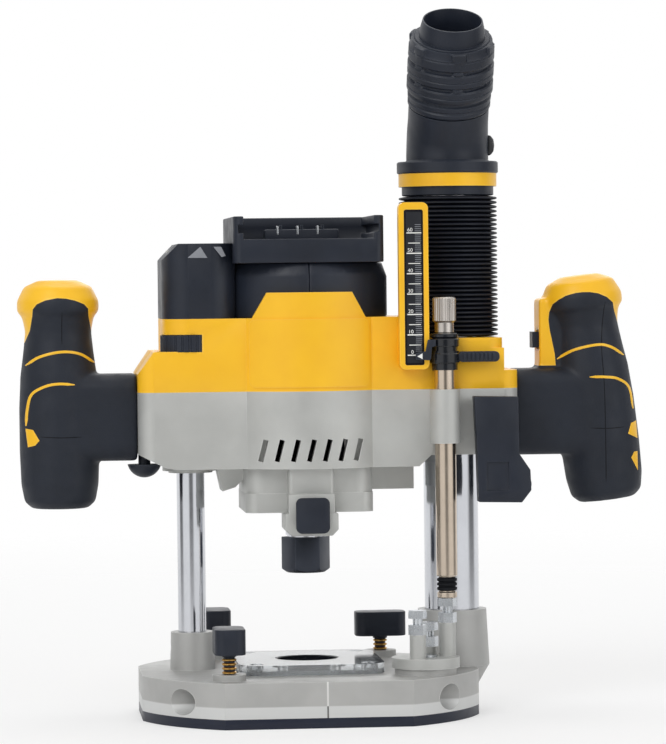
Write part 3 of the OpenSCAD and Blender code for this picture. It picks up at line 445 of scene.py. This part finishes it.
def prism(outline, low, high):
    """A closed prism along Y from an outline in X and Z."""
    form = bmesh.new()
    near = [form.verts.new((x * MM, low * MM, z * MM)) for x, z in outline]
    far = [form.verts.new((x * MM, high * MM, z * MM)) for x, z in outline]
    form.faces.new(near)
    form.faces.new(far[::-1])
    count = len(outline)
    for i in range(count):
        form.faces.new((near[i], far[i], far[(i + 1) % count], near[(i + 1) % count]))
    bmesh.ops.recalc_face_normals(form, faces=form.faces)
    mesh = bpy.data.meshes.new("prism")
    form.to_mesh(mesh)
    form.free()
    piece = bpy.data.objects.new("prism", mesh)
    bpy.context.scene.collection.objects.link(piece)
    return piece


def slab(name, outline, front, back, body, material, edge=0.15):
    """A plate with rounded edges that faces the front."""
    piece = prism(outline, front, back)
    bevel = piece.modifiers.new("round", "BEVEL")
    bevel.limit_method = "ANGLE"
    bevel.angle_limit = math.radians(30)
    bevel.width = edge * MM
    bevel.segments = 2
    baked(piece)
    return finish_piece(piece, name, body, material)


def round_rect(left, right, low, high, radius, steps=5):
    found = []
    corners = ((right, high, 0), (left, high, 90), (left, low, 180), (right, low, 270))
    for x, z, start in corners:
        centre_x = x - math.copysign(radius, x - (left + right) / 2)
        centre_z = z - math.copysign(radius, z - (low + high) / 2)
        for i in range(steps + 1):
            turn = math.radians(start + 90 * i / steps)
            found.append((centre_x + radius * math.cos(turn), centre_z + radius * math.sin(turn)))
    return found


def looped(form, rings):
    """Faces between rings of points in millimetres, closed both ways round."""
    rows = [[form.verts.new(Vector(point) * MM) for point in ring] for ring in rings]
    for one, two in zip(rows, rows[1:] + rows[:1]):
        for k in range(len(one)):
            j = (k + 1) % len(one)
            form.faces.new((one[k], one[j], two[j], two[k]))


def tilted_ring(centre, tilt, radius, segments=96):
    """A circle whose axis leans to the front by tilt; radius is a number or a function of the angle."""
    ring = []
    for k in range(segments):
        turn = 2 * math.pi * k / segments
        size = radius(turn) if callable(radius) else radius
        ring.append((centre[0] + size * math.cos(turn),
                     centre[1] + size * math.sin(turn) * math.cos(tilt),
                     centre[2] + size * math.sin(turn) * math.sin(tilt)))
    return ring


def turned(name, profile, centre, body, material, segments=72, smooth=35.0):
    """A closed solid turned about a vertical axis: profile is radius and height, radius may be a function."""
    form = bmesh.new()
    looped(form, [tilted_ring((centre[0], centre[1], z), 0, radius, segments) for radius, z in profile])
    return finish_form(form, name, body, material, smooth)


def curve_through(points, step=0.6):
    """Points along a smooth curve through the given ones."""
    ends = [2 * points[0] - points[1]] + list(points) + [2 * points[-1] - points[-2]]
    found = []
    for a, b, c, d in zip(ends, ends[1:], ends[2:], ends[3:]):
        count = max(2, int((c - b).length / step))
        for i in range(count):
            t = i / count
            found.append(0.5 * (2 * b + (c - a) * t + (2 * a - 5 * b + 4 * c - d) * t * t
                                + (3 * b - a - 3 * c + d) * t ** 3))
    return found + [points[-1]]


def tree_of(piece):
    form = bmesh.new()
    form.from_mesh(piece.data)
    tree = BVHTree.FromBMesh(form)
    form.free()
    return tree


REACH = 0.2


def on_skin(tree, x, z, side):
    """The point of a surface met from the front (side -1) or the back (side 1), and its normal."""
    start = Vector((x * MM, side * REACH, z * MM))
    spot, normal, _, _ = tree.ray_cast(start, Vector((0, -side, 0)))
    return spot, normal


def ribbon(form, tree, outline, width, height, side, taper=0.35):
    """A raised line that lies on a surface, added to a bmesh."""
    path = curve_through([Vector(p) for p in outline])
    rows = []
    last = len(path) - 1
    for i, here in enumerate(path):
        ahead = path[min(i + 1, last)] - path[max(i - 1, 0)]
        across = Vector((-ahead.y, ahead.x)).normalized()
        end = min(1.0, taper + (1 - taper) * min(i, last - i) / 5)
        row = []
        for offset, lift in ((-0.5, -0.4), (-0.36, 0.8), (0, 1.0), (0.36, 0.8), (0.5, -0.4)):
            at = here + across * width * offset * end
            spot, normal = on_skin(tree, at.x, at.y, side)
            if spot is None:
                break
            row.append(form.verts.new(spot + normal * height * lift * MM))
        if len(row) == 5:
            rows.append(row)
    for first, second in zip(rows, rows[1:]):
        for i in range(5):
            form.faces.new((first[i], first[(i + 1) % 5], second[(i + 1) % 5], second[i]))
    for row in (rows[0], rows[-1]):
        form.faces.new(row)


def patch(form, tree, outline, height, side):
    """A raised patch with a straight-sided outline, added to a bmesh."""
    centre = sum((Vector(p) for p in outline), Vector((0, 0))) / len(outline)
    rings = []
    for share, lift in ((1.0, -0.5), (0.96, 0.6), (0.86, 1.0), (0.6, 1.0), (0.3, 1.0)):
        ring = []
        count = len(outline)
        for i in range(count):
            a, b = Vector(outline[i]), Vector(outline[(i + 1) % count])
            for k in range(4):
                at = centre + (a + (b - a) * k / 4 - centre) * share
                spot, normal = on_skin(tree, at.x, at.y, side)
                ring.append(form.verts.new(spot + normal * height * lift * MM))
        rings.append(ring)
    for outer, inner in zip(rings, rings[1:]):
        for i in range(len(outer)):
            j = (i + 1) % len(outer)
            form.faces.new((outer[i], outer[j], inner[j], inner[i]))
    form.faces.new(rings[-1])
    form.faces.new(rings[0][::-1])


def finish_form(form, name, body, material, smooth=40.0):
    bmesh.ops.recalc_face_normals(form, faces=form.faces)
    mesh = bpy.data.meshes.new(name)
    form.to_mesh(mesh)
    form.free()
    return put(name, mesh, body, material, smooth)


# The last argument lists the grip's crease lines, which are drawn as thin near-black ribbons of painted shade.
def handle(side_name, node, cover, lines, patches, crease_shade_lines):
    body_piece = organic(node, 0.9, 14)
    core_piece = bpy.data.objects.new("core", body_piece.data.copy())
    bpy.context.scene.collection.objects.link(core_piece)
    outline = prism(cover, -60, 60)
    joined(core_piece, outline, "DIFFERENCE")
    joined(body_piece, outline, "INTERSECT")
    drop(outline)
    tree = tree_of(body_piece)
    bevel = body_piece.modifiers.new("lip", "BEVEL")
    bevel.limit_method = "ANGLE"
    bevel.angle_limit = math.radians(50)
    bevel.width = 0.4 * MM
    bevel.segments = 2
    baked(body_piece)
    grip = finish_piece(body_piece, side_name + "_grip_look", "motor", "rubber", 60.0)
    core = finish_piece(core_piece, side_name + "_core_look", "motor", "yellow", 50.0)
    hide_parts(node)
    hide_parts(node)
    accents = bmesh.new()
    # Thin near-black ribbons along the crease lines: painted shade where each crease lies in shadow.
    painted_crease_shade = bmesh.new()
    for face_side in (-1, 1):
        for line in lines:
            ribbon(accents, tree, line, 1.5, 0.28, face_side)
        for shape in patches:
            patch(accents, tree, shape, 0.3, face_side)
        for line in crease_shade_lines:
            ribbon(painted_crease_shade, tree, line, 0.5, 0.06, face_side)
    finish_form(accents, side_name + "_accents", "motor", "yellow")
    finish_form(painted_crease_shade, side_name + "_seams", "motor", "recess")


LEFT_COVER = (
    (-150, 95), (-70, 95), (-70, 180), (-100, 182), (-103.5, 187), (-106, 193), (-107.4, 200), (-107.6, 203.6),
    (-109.6, 205.8), (-114.2, 207.7), (-118.6, 208.7), (-123, 209), (-128.9, 207.9), (-133, 206), (-134.9, 203.6),
    (-135.2, 200), (-136.4, 193), (-139, 187), (-150, 182),
)
RIGHT_COVER = (
    (95, 95), (180, 95), (180, 182), (162, 187), (158, 193), (155.4, 199), (153.9, 203.6), (150.5, 206.3),
    (146, 208.2), (141.7, 208.9), (138, 208.9), (134.4, 208.5), (130, 207.2), (126.6, 205.2), (124, 203),
    (122.6, 199), (122.2, 195.2), (122.8, 190), (123.8, 185.2), (125.2, 178), (125.6, 172.4), (95, 172.4),
)
handle(
    "left", "left_handle", LEFT_COVER,
    (((-138.7, 175.8), (-131.7, 180.1), (-121.3, 182.4), (-112, 181.3), (-104.2, 176.5)),
     ((-114.8, 166.2), (-123, 166.7), (-129.9, 165.3), (-136.1, 161.4), (-138.2, 154), (-138.9, 146))),
    (((-139.2, 144.8), (-135.5, 144.2), (-132.4, 138.8), (-134.6, 136.3), (-138.1, 135.4)),),
    # crease lines, drawn as painted shade
    (((-132, 140.7), (-122, 140.2), (-111.5, 140.4)), ((-120.6, 202), (-120.8, 194), (-120.8, 186))),
)
handle(
    "right", "right_handle", RIGHT_COVER,
    (((126.3, 175.5), (134.1, 180.1), (145.6, 182.6), (152.7, 181.4), (160.1, 177.1)),
     ((141.2, 166.6), (149, 166.5), (156.1, 165.4), (162.4, 160.8), (164.4, 150.3))),
    (((160.8, 137.9), (162.8, 143.3), (166.2, 144.3), (166.6, 135.3)),
     ((162.4, 125.9), (164.2, 128.8), (166.2, 129.1), (166.2, 119.3))),
    # crease lines, drawn as painted shade
    (((149.5, 204), (147.7, 182.4), (148.5, 162.5), (148.8, 140), (149, 114)),
     ((141.2, 141.2), (150, 140.9), (158.8, 141.4))),
)

# ---------------------------------------------------------------- depth scale

STRIP_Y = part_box("depth_scale")[0].y / MM + 0.4
SCALE_ZERO = 179.0
SCALE_STEP = 10.0
SCALE_MARKS = 6
STRIP_LEFT = 47.9
STRIP_RIGHT = 55.2
# Outline of a near-black frame round the scale strip: painted shade of the hollow the strip sits in.
SHADE_FRAME = (46.7, 56.1, 174.1, 250.4)
STRIP_HEIGHTS = (175.3, 249.2)


def bar(form, low, high):
    corners = [Vector((x * MM, y * MM, z * MM)) for x in (low[0], high[0]) for y in (low[1], high[1])
               for z in (low[2], high[2])]
    verts = [form.verts.new(c) for c in corners]
    for quad in ((0, 1, 3, 2), (4, 6, 7, 5), (0, 4, 5, 1), (2, 3, 7, 6), (0, 2, 6, 4), (1, 5, 7, 3)):
        form.faces.new([verts[i] for i in quad])


def lettering(name, text, x, y, z, size, body, material):
    data = bpy.data.curves.new(name, "FONT")
    data.body = text
    data.size = size * MM
    data.extrude = 0.04 * MM
    data.align_x = "RIGHT"
    work = bpy.data.objects.new(name, data)
    bpy.context.scene.collection.objects.link(work)
    upright_turn = Matrix.Rotation(math.radians(90), 4, "X")
    work.matrix_world = Matrix.Translation((x * MM, y * MM, z * MM)) @ upright_turn
    bpy.context.view_layer.update()
    mesh = bpy.data.meshes.new_from_object(work.evaluated_get(bpy.context.evaluated_depsgraph_get()))
    mesh.transform(work.matrix_world)
    drop(work)
    return put(name, mesh, body, material)


def scale_marks():
    # A near-black frame round the strip: painted shade of the hollow the strip sits in.
    slab("scale_painted_shade_frame", round_rect(*SHADE_FRAME, 1.0), STRIP_Y - 0.12, STRIP_Y + 0.4, "motor", "recess", 0.08)
    slab("scale_strip", round_rect(STRIP_LEFT - 0.2, STRIP_RIGHT, *STRIP_HEIGHTS, 0.4),
         STRIP_Y - 0.22, STRIP_Y + 0.3, "motor", "strip", 0.05)
    strip_y = STRIP_Y - 0.24
    long_marks = bmesh.new()
    fine_marks = bmesh.new()
    near, far = strip_y - 0.06, strip_y + 0.05
    for i in range(SCALE_MARKS * 10 + 5):
        z = SCALE_ZERO + i * SCALE_STEP / 10
        if i % 10 == 0:
            bar(long_marks, (STRIP_LEFT, near, z - 0.28), (STRIP_RIGHT, far, z + 0.28))
        elif i % 5 == 0:
            bar(long_marks, (STRIP_LEFT + 0.8, near, z - 0.2), (STRIP_RIGHT - 0.6, far, z + 0.2))
        else:
            bar(fine_marks, (STRIP_RIGHT - 3.2, near, z - 0.12), (STRIP_RIGHT - 0.2, far, z + 0.12))
    finish_form(long_marks, "scale_marks", "motor", "white")
    finish_form(fine_marks, "scale_fine_marks", "motor", "fine_mark")
    for i in range(SCALE_MARKS + 1):
        lettering(f"scale_number_{i}", str(i * 10), STRIP_LEFT + 3.0, strip_y - 0.02,
                  SCALE_ZERO + i * SCALE_STEP + 0.7, 2.6, "motor", "white")


scale_marks()

# ---------------------------------------------------------------- depth stop

ROD = ((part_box("depth_rod")[0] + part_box("depth_rod")[1]) / 2 / MM)
ROD_R = 5.2
ROD_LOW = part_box("depth_rod")[0].z / MM
ROD_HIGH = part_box("depth_rod")[1].z / MM
SLEEVE_R = 6.4
SLEEVE_LOW = 171.5


def depth_rod():
    tip = ROD_LOW + 3.2
    shaft = turned("rod_look", [(0.05, ROD_LOW), (4.3, ROD_LOW), (4.9, ROD_LOW + 0.5), (4.9, tip - 0.5), (4.4, tip),
                                (3.9, tip + 0.1), (3.9, tip + 7.4), (ROD_R - 0.4, tip + 7.5), (ROD_R, tip + 8.0),
                                (ROD_R, ROD_HIGH - 0.3), (0.05, ROD_HIGH - 0.3)], ROD, "depth_rod", "nickel")
    foot = []
    for i in range(3):
        z = tip + 0.5 + i * 2.2
        foot += [(4.2, z), (4.95, z + 0.4), (4.95, z + 1.4), (4.2, z + 1.8)]
    ridged = turned("rod_foot", [(3.95, tip + 0.3)] + foot + [(3.95, tip + 7.2)], ROD, "depth_rod", "recess")
    sleeve = turned("rod_sleeve", [(ROD_R + 0.02, SLEEVE_LOW), (SLEEVE_R, SLEEVE_LOW), (SLEEVE_R, ROD_HIGH - 3.2),
                                   (SLEEVE_R - 0.3, ROD_HIGH - 2.8), (SLEEVE_R + 0.45, ROD_HIGH - 2.2),
                                   (SLEEVE_R + 0.5, ROD_HIGH - 0.9), (SLEEVE_R, ROD_HIGH - 0.4),
                                   (ROD_R + 0.02, ROD_HIGH - 0.4)], ROD, "depth_rod", "gloss")
    for piece in (shaft, ridged, sleeve):
        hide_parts("depth_rod")


def adjust_knob():
    low, high = (corner.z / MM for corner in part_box("adjust_knob"))

    def fluted(turn):
        return 5.55 + 0.25 * abs(math.cos(turn * 14))

    knob = turned("knob_look", [(0.05, low), (4.7, low), (4.7, low + 4.6), (5.0, low + 5.0), (5.2, low + 5.2),
                                (fluted, low + 5.6), (fluted, high - 0.7), (5.1, high - 0.1), (0.05, high - 0.05)],
                  ROD, "adjust_knob", "satin", 168)
    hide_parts("adjust_knob")


def rod_clamp():
    low, high = (corner.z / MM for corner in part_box("rod_clamp"))
    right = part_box("rod_clamp")[1].x / MM
    ring = turned("clamp_ring", [(SLEEVE_R + 0.05, low), (7.0, low), (7.4, low + 0.4), (7.4, high - 1.4),
                                 (7.0, high - 1.0), (7.0, high), (SLEEVE_R + 0.05, high)], ROD, "rod_clamp", "gloss")
    lever_outline = round_rect(ROD.x + 6.4, right, low + 0.5, high - 0.3, 2.2)
    lever = slab("clamp_lever", lever_outline, ROD.y - 3, ROD.y + 3, "rod_clamp", "black", 0.6)
    for i in range(8):
        x = ROD.x + 9.2 + i * 2.05
        slab(f"clamp_rib_{i}", round_rect(x, x + 1.1, low + 1.3, high - 1.1, 0.4), ROD.y - 3.6, ROD.y + 3.6,
             "rod_clamp", "black", 0.3)
    for piece in (ring, lever):
        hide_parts("rod_clamp")


def depth_pointer():
    low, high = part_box("depth_pointer")
    front = low.y / MM
    ring_low = high.z / MM - 4
    ring = turned("pointer_ring", [(SLEEVE_R + 0.06, ring_low), (7.0, ring_low), (7.3, ring_low + 0.4),
                                   (7.3, ring_low + 3.5), (7.0, ring_low + 3.9), (SLEEVE_R + 0.06, ring_low + 3.9)],
                  ROD, "depth_pointer", "gloss")
    arm = slab("pointer_arm", [(51.6, 176.9), (58.2, 176.4), (59.0, 177.2), (59.6, 183.0), (61.4, 183.4), (61.4, 186.6),
                               (57.6, 186.6), (56.4, 180.9), (51.6, 180.1)], front, front + 1.6,
               "depth_pointer", "black", 0.25)
    slab("pointer_tip", [(52.2, 178.5), (54.8, 177.1), (54.8, 179.9)], front - 0.08, front + 0.3,
         "depth_pointer", "white", 0.04)
    for piece in (ring, arm):
        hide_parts("depth_pointer")


depth_rod()
adjust_knob()
rod_clamp()
depth_pointer()

# ---------------------------------------------------------------- dust spout

DUST = Vector((74.0, 5.0, 0.0))
SPOUT_TILT = math.radians(27.0)
BEND_LOW = 278.0
BEND_R = 29.16
SPOUT_JOINT = 285.0


def upright(z):
    return (DUST.x, DUST.y, z), 0.0


def bent(share):
    turn = SPOUT_TILT * share
    return (DUST.x, DUST.y - BEND_R * (1 - math.cos(turn)), BEND_LOW + BEND_R * math.sin(turn)), turn


def leaning(along):
    place = (DUST.x, DUST.y - along * math.sin(SPOUT_TILT), SPOUT_JOINT + along * math.cos(SPOUT_TILT))
    return place, SPOUT_TILT


def dust_spout():
    steps = [0.0, 0.2, 0.4, 0.6, 0.8, 1.0]
    outer = [(upright(258), 22.6), (upright(258.4), 23.0), (upright(262.4), 23.0), (upright(262.6), 23.75),
             (upright(269), 23.75), (upright(269.1), 24.9), (upright(269.6), 25.4), (upright(274.4), 25.4),
             (upright(275), 24.8), (upright(275.1), 21.2), (upright(275.8), 20.6)]
    outer += [(bent(f), 20.6 - 0.3 * f) for f in steps]
    outer += [(leaning(12), 20.1), (leaning(20.4), 20.1), (leaning(20.6), 18.75), (leaning(57.2), 18.75),
              (leaning(57.6), 18.3), (leaning(57.7), 16.5), (leaning(62), 16.0), (leaning(65.6), 15.1),
              (leaning(66.3), 14.9)]
    inner = [(leaning(66.3), 14.3), (leaning(62), 13.3), (leaning(58), 13.0), (leaning(46.6), 13.0),
             (leaning(46.4), 12.4), (leaning(20), 12.4)]
    inner += [(bent(f), 12.4) for f in steps[::-1]]
    inner += [(upright(270.2), 12.4), (upright(270), 13.7), (upright(258), 13.7)]
    form = bmesh.new()
    looped(form, [tilted_ring(centre, tilt, radius) for (centre, tilt), radius in outer + inner])
    piece = finish_form(form, "spout_look", "base", "black", 30.0)
    tab = slab("spout_tab", [(93.2, 277.6), (95.6, 278.1), (97.1, 280), (97.5, 283), (97.1, 286), (95.6, 288),
                             (93.2, 288.4)], 1.0, 7.0, "base", "gloss", 0.6)
    for part in (piece, tab):
        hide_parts("dust_spout")


def spout_collar():
    full, groove, inside = 21.55, 20.1, 18.9

    def ribbed(depth):
        """Full size at six ribs, and less by depth between them."""
        def radius(turn):
            across = abs((math.degrees(turn) + 86) % 60 - 30)
            return full - depth * min(1.0, max(0.0, (25 - across) / 4))
        return radius

    def crown(turn):
        across = abs((math.degrees(turn) + 86) % 60 - 30)
        return full - 1.3 * (1 if across < 20 else 0)

    cut = full - groove
    rows = [(inside, 21), (20.2, 21), (20.7, 21.8), (20.7, 23.4), (20.2, 24.0), (20.2, 24.6), (20.8, 25.2),
            (20.9, 27.2), (groove - 0.2, 28.0), (groove - 0.2, 28.8), (full - 0.4, 29.5), (full, 30.3),
            (full, 32.0), (full - 0.35, 32.4), (full, 32.8), (full, 35.2), (full - 0.5, 36.0), (ribbed(cut), 36.4),
            (ribbed(cut), 37.2), (full - 0.5, 37.8), (full, 38.6), (full, 40.6), (full - 0.35, 41.0),
            (full, 41.4), (full, 44.2), (full - 0.5, 45.0), (ribbed(cut), 45.5), (ribbed(cut), 46.4),
            (full - 0.5, 47.0), (full - 0.1, 47.8), (full - 0.2, 51.6), (ribbed(0.6), 52.0),
            (ribbed(0.6), 52.5), (full - 0.2, 52.9), (crown, 55.0), (crown, 56.4), (20.0, 57.0), (inside, 57.0)]
    form = bmesh.new()
    looped(form, [tilted_ring(*leaning(along), radius, 144) for radius, along in rows])
    piece = finish_form(form, "collar_look", "spout_collar", "black", 28.0)
    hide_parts("spout_collar")


dust_spout()
spout_collar()

# ---------------------------------------------------------------- shield, springs, pod and battery mount


CLAMPS = (("front", -42.5, -57.0), ("rear_left", -42.5, 57.0), ("rear_right", 42.5, 57.0))


def clamp_springs():
    low, high = (corner.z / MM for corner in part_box("clamp_springs"))
    turns = 4
    pitch = (high - low) / turns
    for name, x, y in CLAMPS:
        rows = [(2.2, low)]
        for i in range(turns):
            z = low + i * pitch
            rows += [(2.7, z + 0.02), (3.6, z + pitch * 0.25), (3.6, z + pitch * 0.5), (2.7, z + pitch * 0.75)]
        rows += [(2.7, high - 0.02), (2.2, high)]
        spring = turned(f"spring_{name}", rows, (x, y), "base", "brass")
        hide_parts("clamp_springs")


def shield_lip():
    section = [(15.2, 22.4), (15.9, 22.4), (15.95, 26.9), (15.6, 27.3), (15.2, 26.9)]
    turned("shield_lip", section, (0, 0), "base", "gloss")


def pod_marks():
    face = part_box("control_pod")[0].y / MM
    for name, outline in (("pod_mark_left", [(-59.2, 228), (-52.8, 233.4), (-49.4, 227.9)]),
                          ("pod_mark_right", [(-46.4, 233.3), (-42.6, 233.3), (-40.4, 228.8), (-42.4, 228.2)])):
        slab(name, outline, face - 0.12, face + 0.3, "motor", "fine_mark", 0.06)


def terminal_block():
    low = 236.0
    slab("terminal_block", round_rect(-18.4, 18.4, low, 241.9, 0.8), 1.0, 15.5, "motor", "black", 0.5)
    for i, x in enumerate((-12.2, -2.1, 8.0)):
        blade = round_rect(x - 0.45, x + 0.45, 239.2, 243.6, 0.3)
        slab(f"contact_{i}", blade, 0.6, 9.0, "motor", "zinc", 0.12)


clamp_springs()
shield_lip()
pod_marks()
terminal_block()

# ---------------------------------------------------------------- bellows

BELLOWS_FOLDS = 32


def revolved(form, profile, centre, segments):
    rings = []
    for radius, z in profile:
        rings.append([form.verts.new(((centre[0] + radius * math.cos(a)) * MM,
                                      (centre[1] + radius * math.sin(a)) * MM, z * MM))
                      for a in (2 * math.pi * k / segments for k in range(segments))])
    count = len(rings)
    for i in range(count):
        one, two = rings[i], rings[(i + 1) % count]
        for k in range(segments):
            j = (k + 1) % segments
            form.faces.new((one[k], one[j], two[j], two[k]))


def bellows():
    low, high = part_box("bellows")
    centre = ((low.x + high.x) / 2 / MM, (low.y + high.y) / 2 / MM)
    outer = (high.x - low.x) / 2 / MM
    bottom, top = low.z / MM, high.z / MM
    pitch = (top - bottom) / BELLOWS_FOLDS
    wall = 0.8
    depth = 3.2
    skin = []
    for i in range(BELLOWS_FOLDS):
        z = bottom + i * pitch
        fold = ((0.02, outer - depth), (0.24, outer - 0.5), (0.36, outer), (0.64, outer), (0.76, outer - 0.5))
        for share, radius in fold:
            skin.append((radius, z + share * pitch))
    skin.append((outer - depth, top - 0.02 * pitch))
    inside = [(radius - wall - (0.6 if radius > outer - 1 else 0), z) for radius, z in skin[::-1]]
    form = bmesh.new()
    revolved(form, skin + inside, centre, 96)
    piece = finish_form(form, "bellows_look", None, "bellows", 55.0)
    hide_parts("bellows")
    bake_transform(piece)


bellows()


def plunge_spring():
    """A copy of the plunge spring, on no body, so it keeps its length; the real spring shortens with the plunge, its
    foot staying with the base and its head with the carriage.
    """
    piece = finish_piece(loose_copy("plunge_spring"), "plunge_spring_look", None, "zinc")
    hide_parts("plunge_spring")
    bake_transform(piece)


plunge_spring()

# ---------------------------------------------------------------- stage and light

FLOOR_RADIUS = 1.6
FLOOR_SOLID = 0.3


def stage_floor():
    bpy.ops.mesh.primitive_circle_add(vertices=96, radius=FLOOR_RADIUS, fill_type="NGON", location=(0, 0, 0))
    floor = bpy.context.object
    floor.name = "floor"
    g = Graph("floor")
    length = g.add("VectorMath", operation="LENGTH")
    g.join(g.place, length.inputs[0])
    fade = g.ranged(length.outputs["Value"], FLOOR_SOLID, FLOOR_RADIUS * 0.9, 0.0, 1.0)
    g.shader.inputs["Base Color"].default_value = (0.93, 0.93, 0.93, 1)
    g.shader.inputs["Roughness"].default_value = 0.9
    g.shader.inputs["Specular IOR Level"].default_value = 0.1
    clear = g.add("BsdfTransparent")
    bright = g.add("Emission")
    bright.inputs["Color"].default_value = (1, 1, 1, 1)
    rays = g.add("LightPath")
    half = g.add("Math", operation="MULTIPLY")
    half.inputs[1].default_value = 0.5
    g.join(rays.outputs["Is Camera Ray"], half.inputs[0])
    lit = g.add("MixShader")
    g.join(half.outputs[0], lit.inputs[0])
    g.join(g.shader.outputs[0], lit.inputs[1])
    g.join(bright.outputs[0], lit.inputs[2])
    faded = g.add("MixShader")
    g.join(fade, faded.inputs[0])
    g.join(lit.outputs[0], faded.inputs[1])
    g.join(clear.outputs[0], faded.inputs[2])
    g.join(faded.outputs[0], g.out.inputs["Surface"])
    floor.data.materials.append(g.material)


AMBIENT = 0.54
STUDIO_DARK = 0.2
STUDIO_TOP = 0.9


def light_world():
    """Soft light, a white background, and a studio of tall light panels in the reflections."""
    world = bpy.data.worlds.new("studio")
    bpy.context.scene.world = world
    world.use_nodes = True
    tree = world.node_tree
    tree.nodes.clear()
    new, join = tree.nodes.new, tree.links.new

    def math_node(operation, first, second):
        node = new("ShaderNodeMath")
        node.operation = operation
        for socket, value in zip(node.inputs, (first, second)):
            if isinstance(value, (int, float)):
                socket.default_value = value
            elif value is not None:
                join(value, socket)
        return node.outputs[0]

    def ranged(source, low, high, to_low, to_high):
        node = new("ShaderNodeMapRange")
        node.interpolation_type = "SMOOTHSTEP"
        for key, value in (("From Min", low), ("From Max", high), ("To Min", to_low), ("To Max", to_high)):
            node.inputs[key].default_value = value
        join(source, node.inputs["Value"])
        return node.outputs["Result"]

    axes = new("ShaderNodeSeparateXYZ")
    join(new("ShaderNodeTexCoord").outputs["Generated"], axes.inputs[0])
    x, y, z = axes.outputs
    around = math_node("ADD", math_node("MULTIPLY", x, x), math_node("MULTIPLY", y, y))
    corner = math_node("ABSOLUTE", math_node("MULTIPLY", x, y), None)
    share = math_node("DIVIDE", math_node("MULTIPLY", corner, 2.0), math_node("MAXIMUM", around, 0.0001))
    panels = math_node("MAXIMUM", ranged(share, 0.3, 0.75, STUDIO_DARK, 1.0), ranged(y, 0.88, 0.97, 0.0, 1.0))
    above = ranged(z, 0.35, 0.8, 0.0, 1.0)
    level = math_node("ADD", math_node("MULTIPLY", panels, math_node("SUBTRACT", 1.0, above)),
                      math_node("MULTIPLY", above, STUDIO_TOP))
    rays = new("ShaderNodeLightPath")
    seen = math_node("MAXIMUM", rays.outputs["Is Camera Ray"], rays.outputs["Is Transmission Ray"])
    soft, room, white = (new("ShaderNodeBackground") for _ in range(3))
    soft.inputs["Strength"].default_value = AMBIENT
    join(level, room.inputs["Strength"])
    white.inputs["Strength"].default_value = 1.0
    for background in (soft, room, white):
        background.inputs["Color"].default_value = (1, 1, 1, 1)
    shine, blend = new("ShaderNodeMixShader"), new("ShaderNodeMixShader")
    join(rays.outputs["Is Glossy Ray"], shine.inputs[0])
    join(soft.outputs[0], shine.inputs[1])
    join(room.outputs[0], shine.inputs[2])
    join(seen, blend.inputs[0])
    join(shine.outputs[0], blend.inputs[1])
    join(white.outputs[0], blend.inputs[2])
    join(blend.outputs[0], new("ShaderNodeOutputWorld").inputs["Surface"])


LAMPS = (
    ("key", (-0.9, -1.5, 1.3), 1.0, 13.5),
    ("fill", (1.3, -1.2, 0.7), 0.9, 3.6),
    ("top", (0.1, 0.3, 1.6), 1.1, 6.0),
    ("back", (0.3, 1.6, 0.9), 1.0, 4.0),
)


def light_lamps():
    target = Vector((0.01, 0, 0.16))
    for name, place, size, power in LAMPS:
        data = bpy.data.lights.new(name, "AREA")
        data.shape = "SQUARE"
        data.size = size
        data.energy = power
        lamp = bpy.data.objects.new(name, data)
        lamp.location = place
        lamp.rotation_euler = (target - Vector(place)).to_track_quat("-Z", "Y").to_euler()
        bpy.context.scene.collection.objects.link(lamp)


stage_floor()
light_world()
light_lamps()
bpy.context.scene.view_settings.view_transform = "Standard"

bpy.context.view_layer.update()
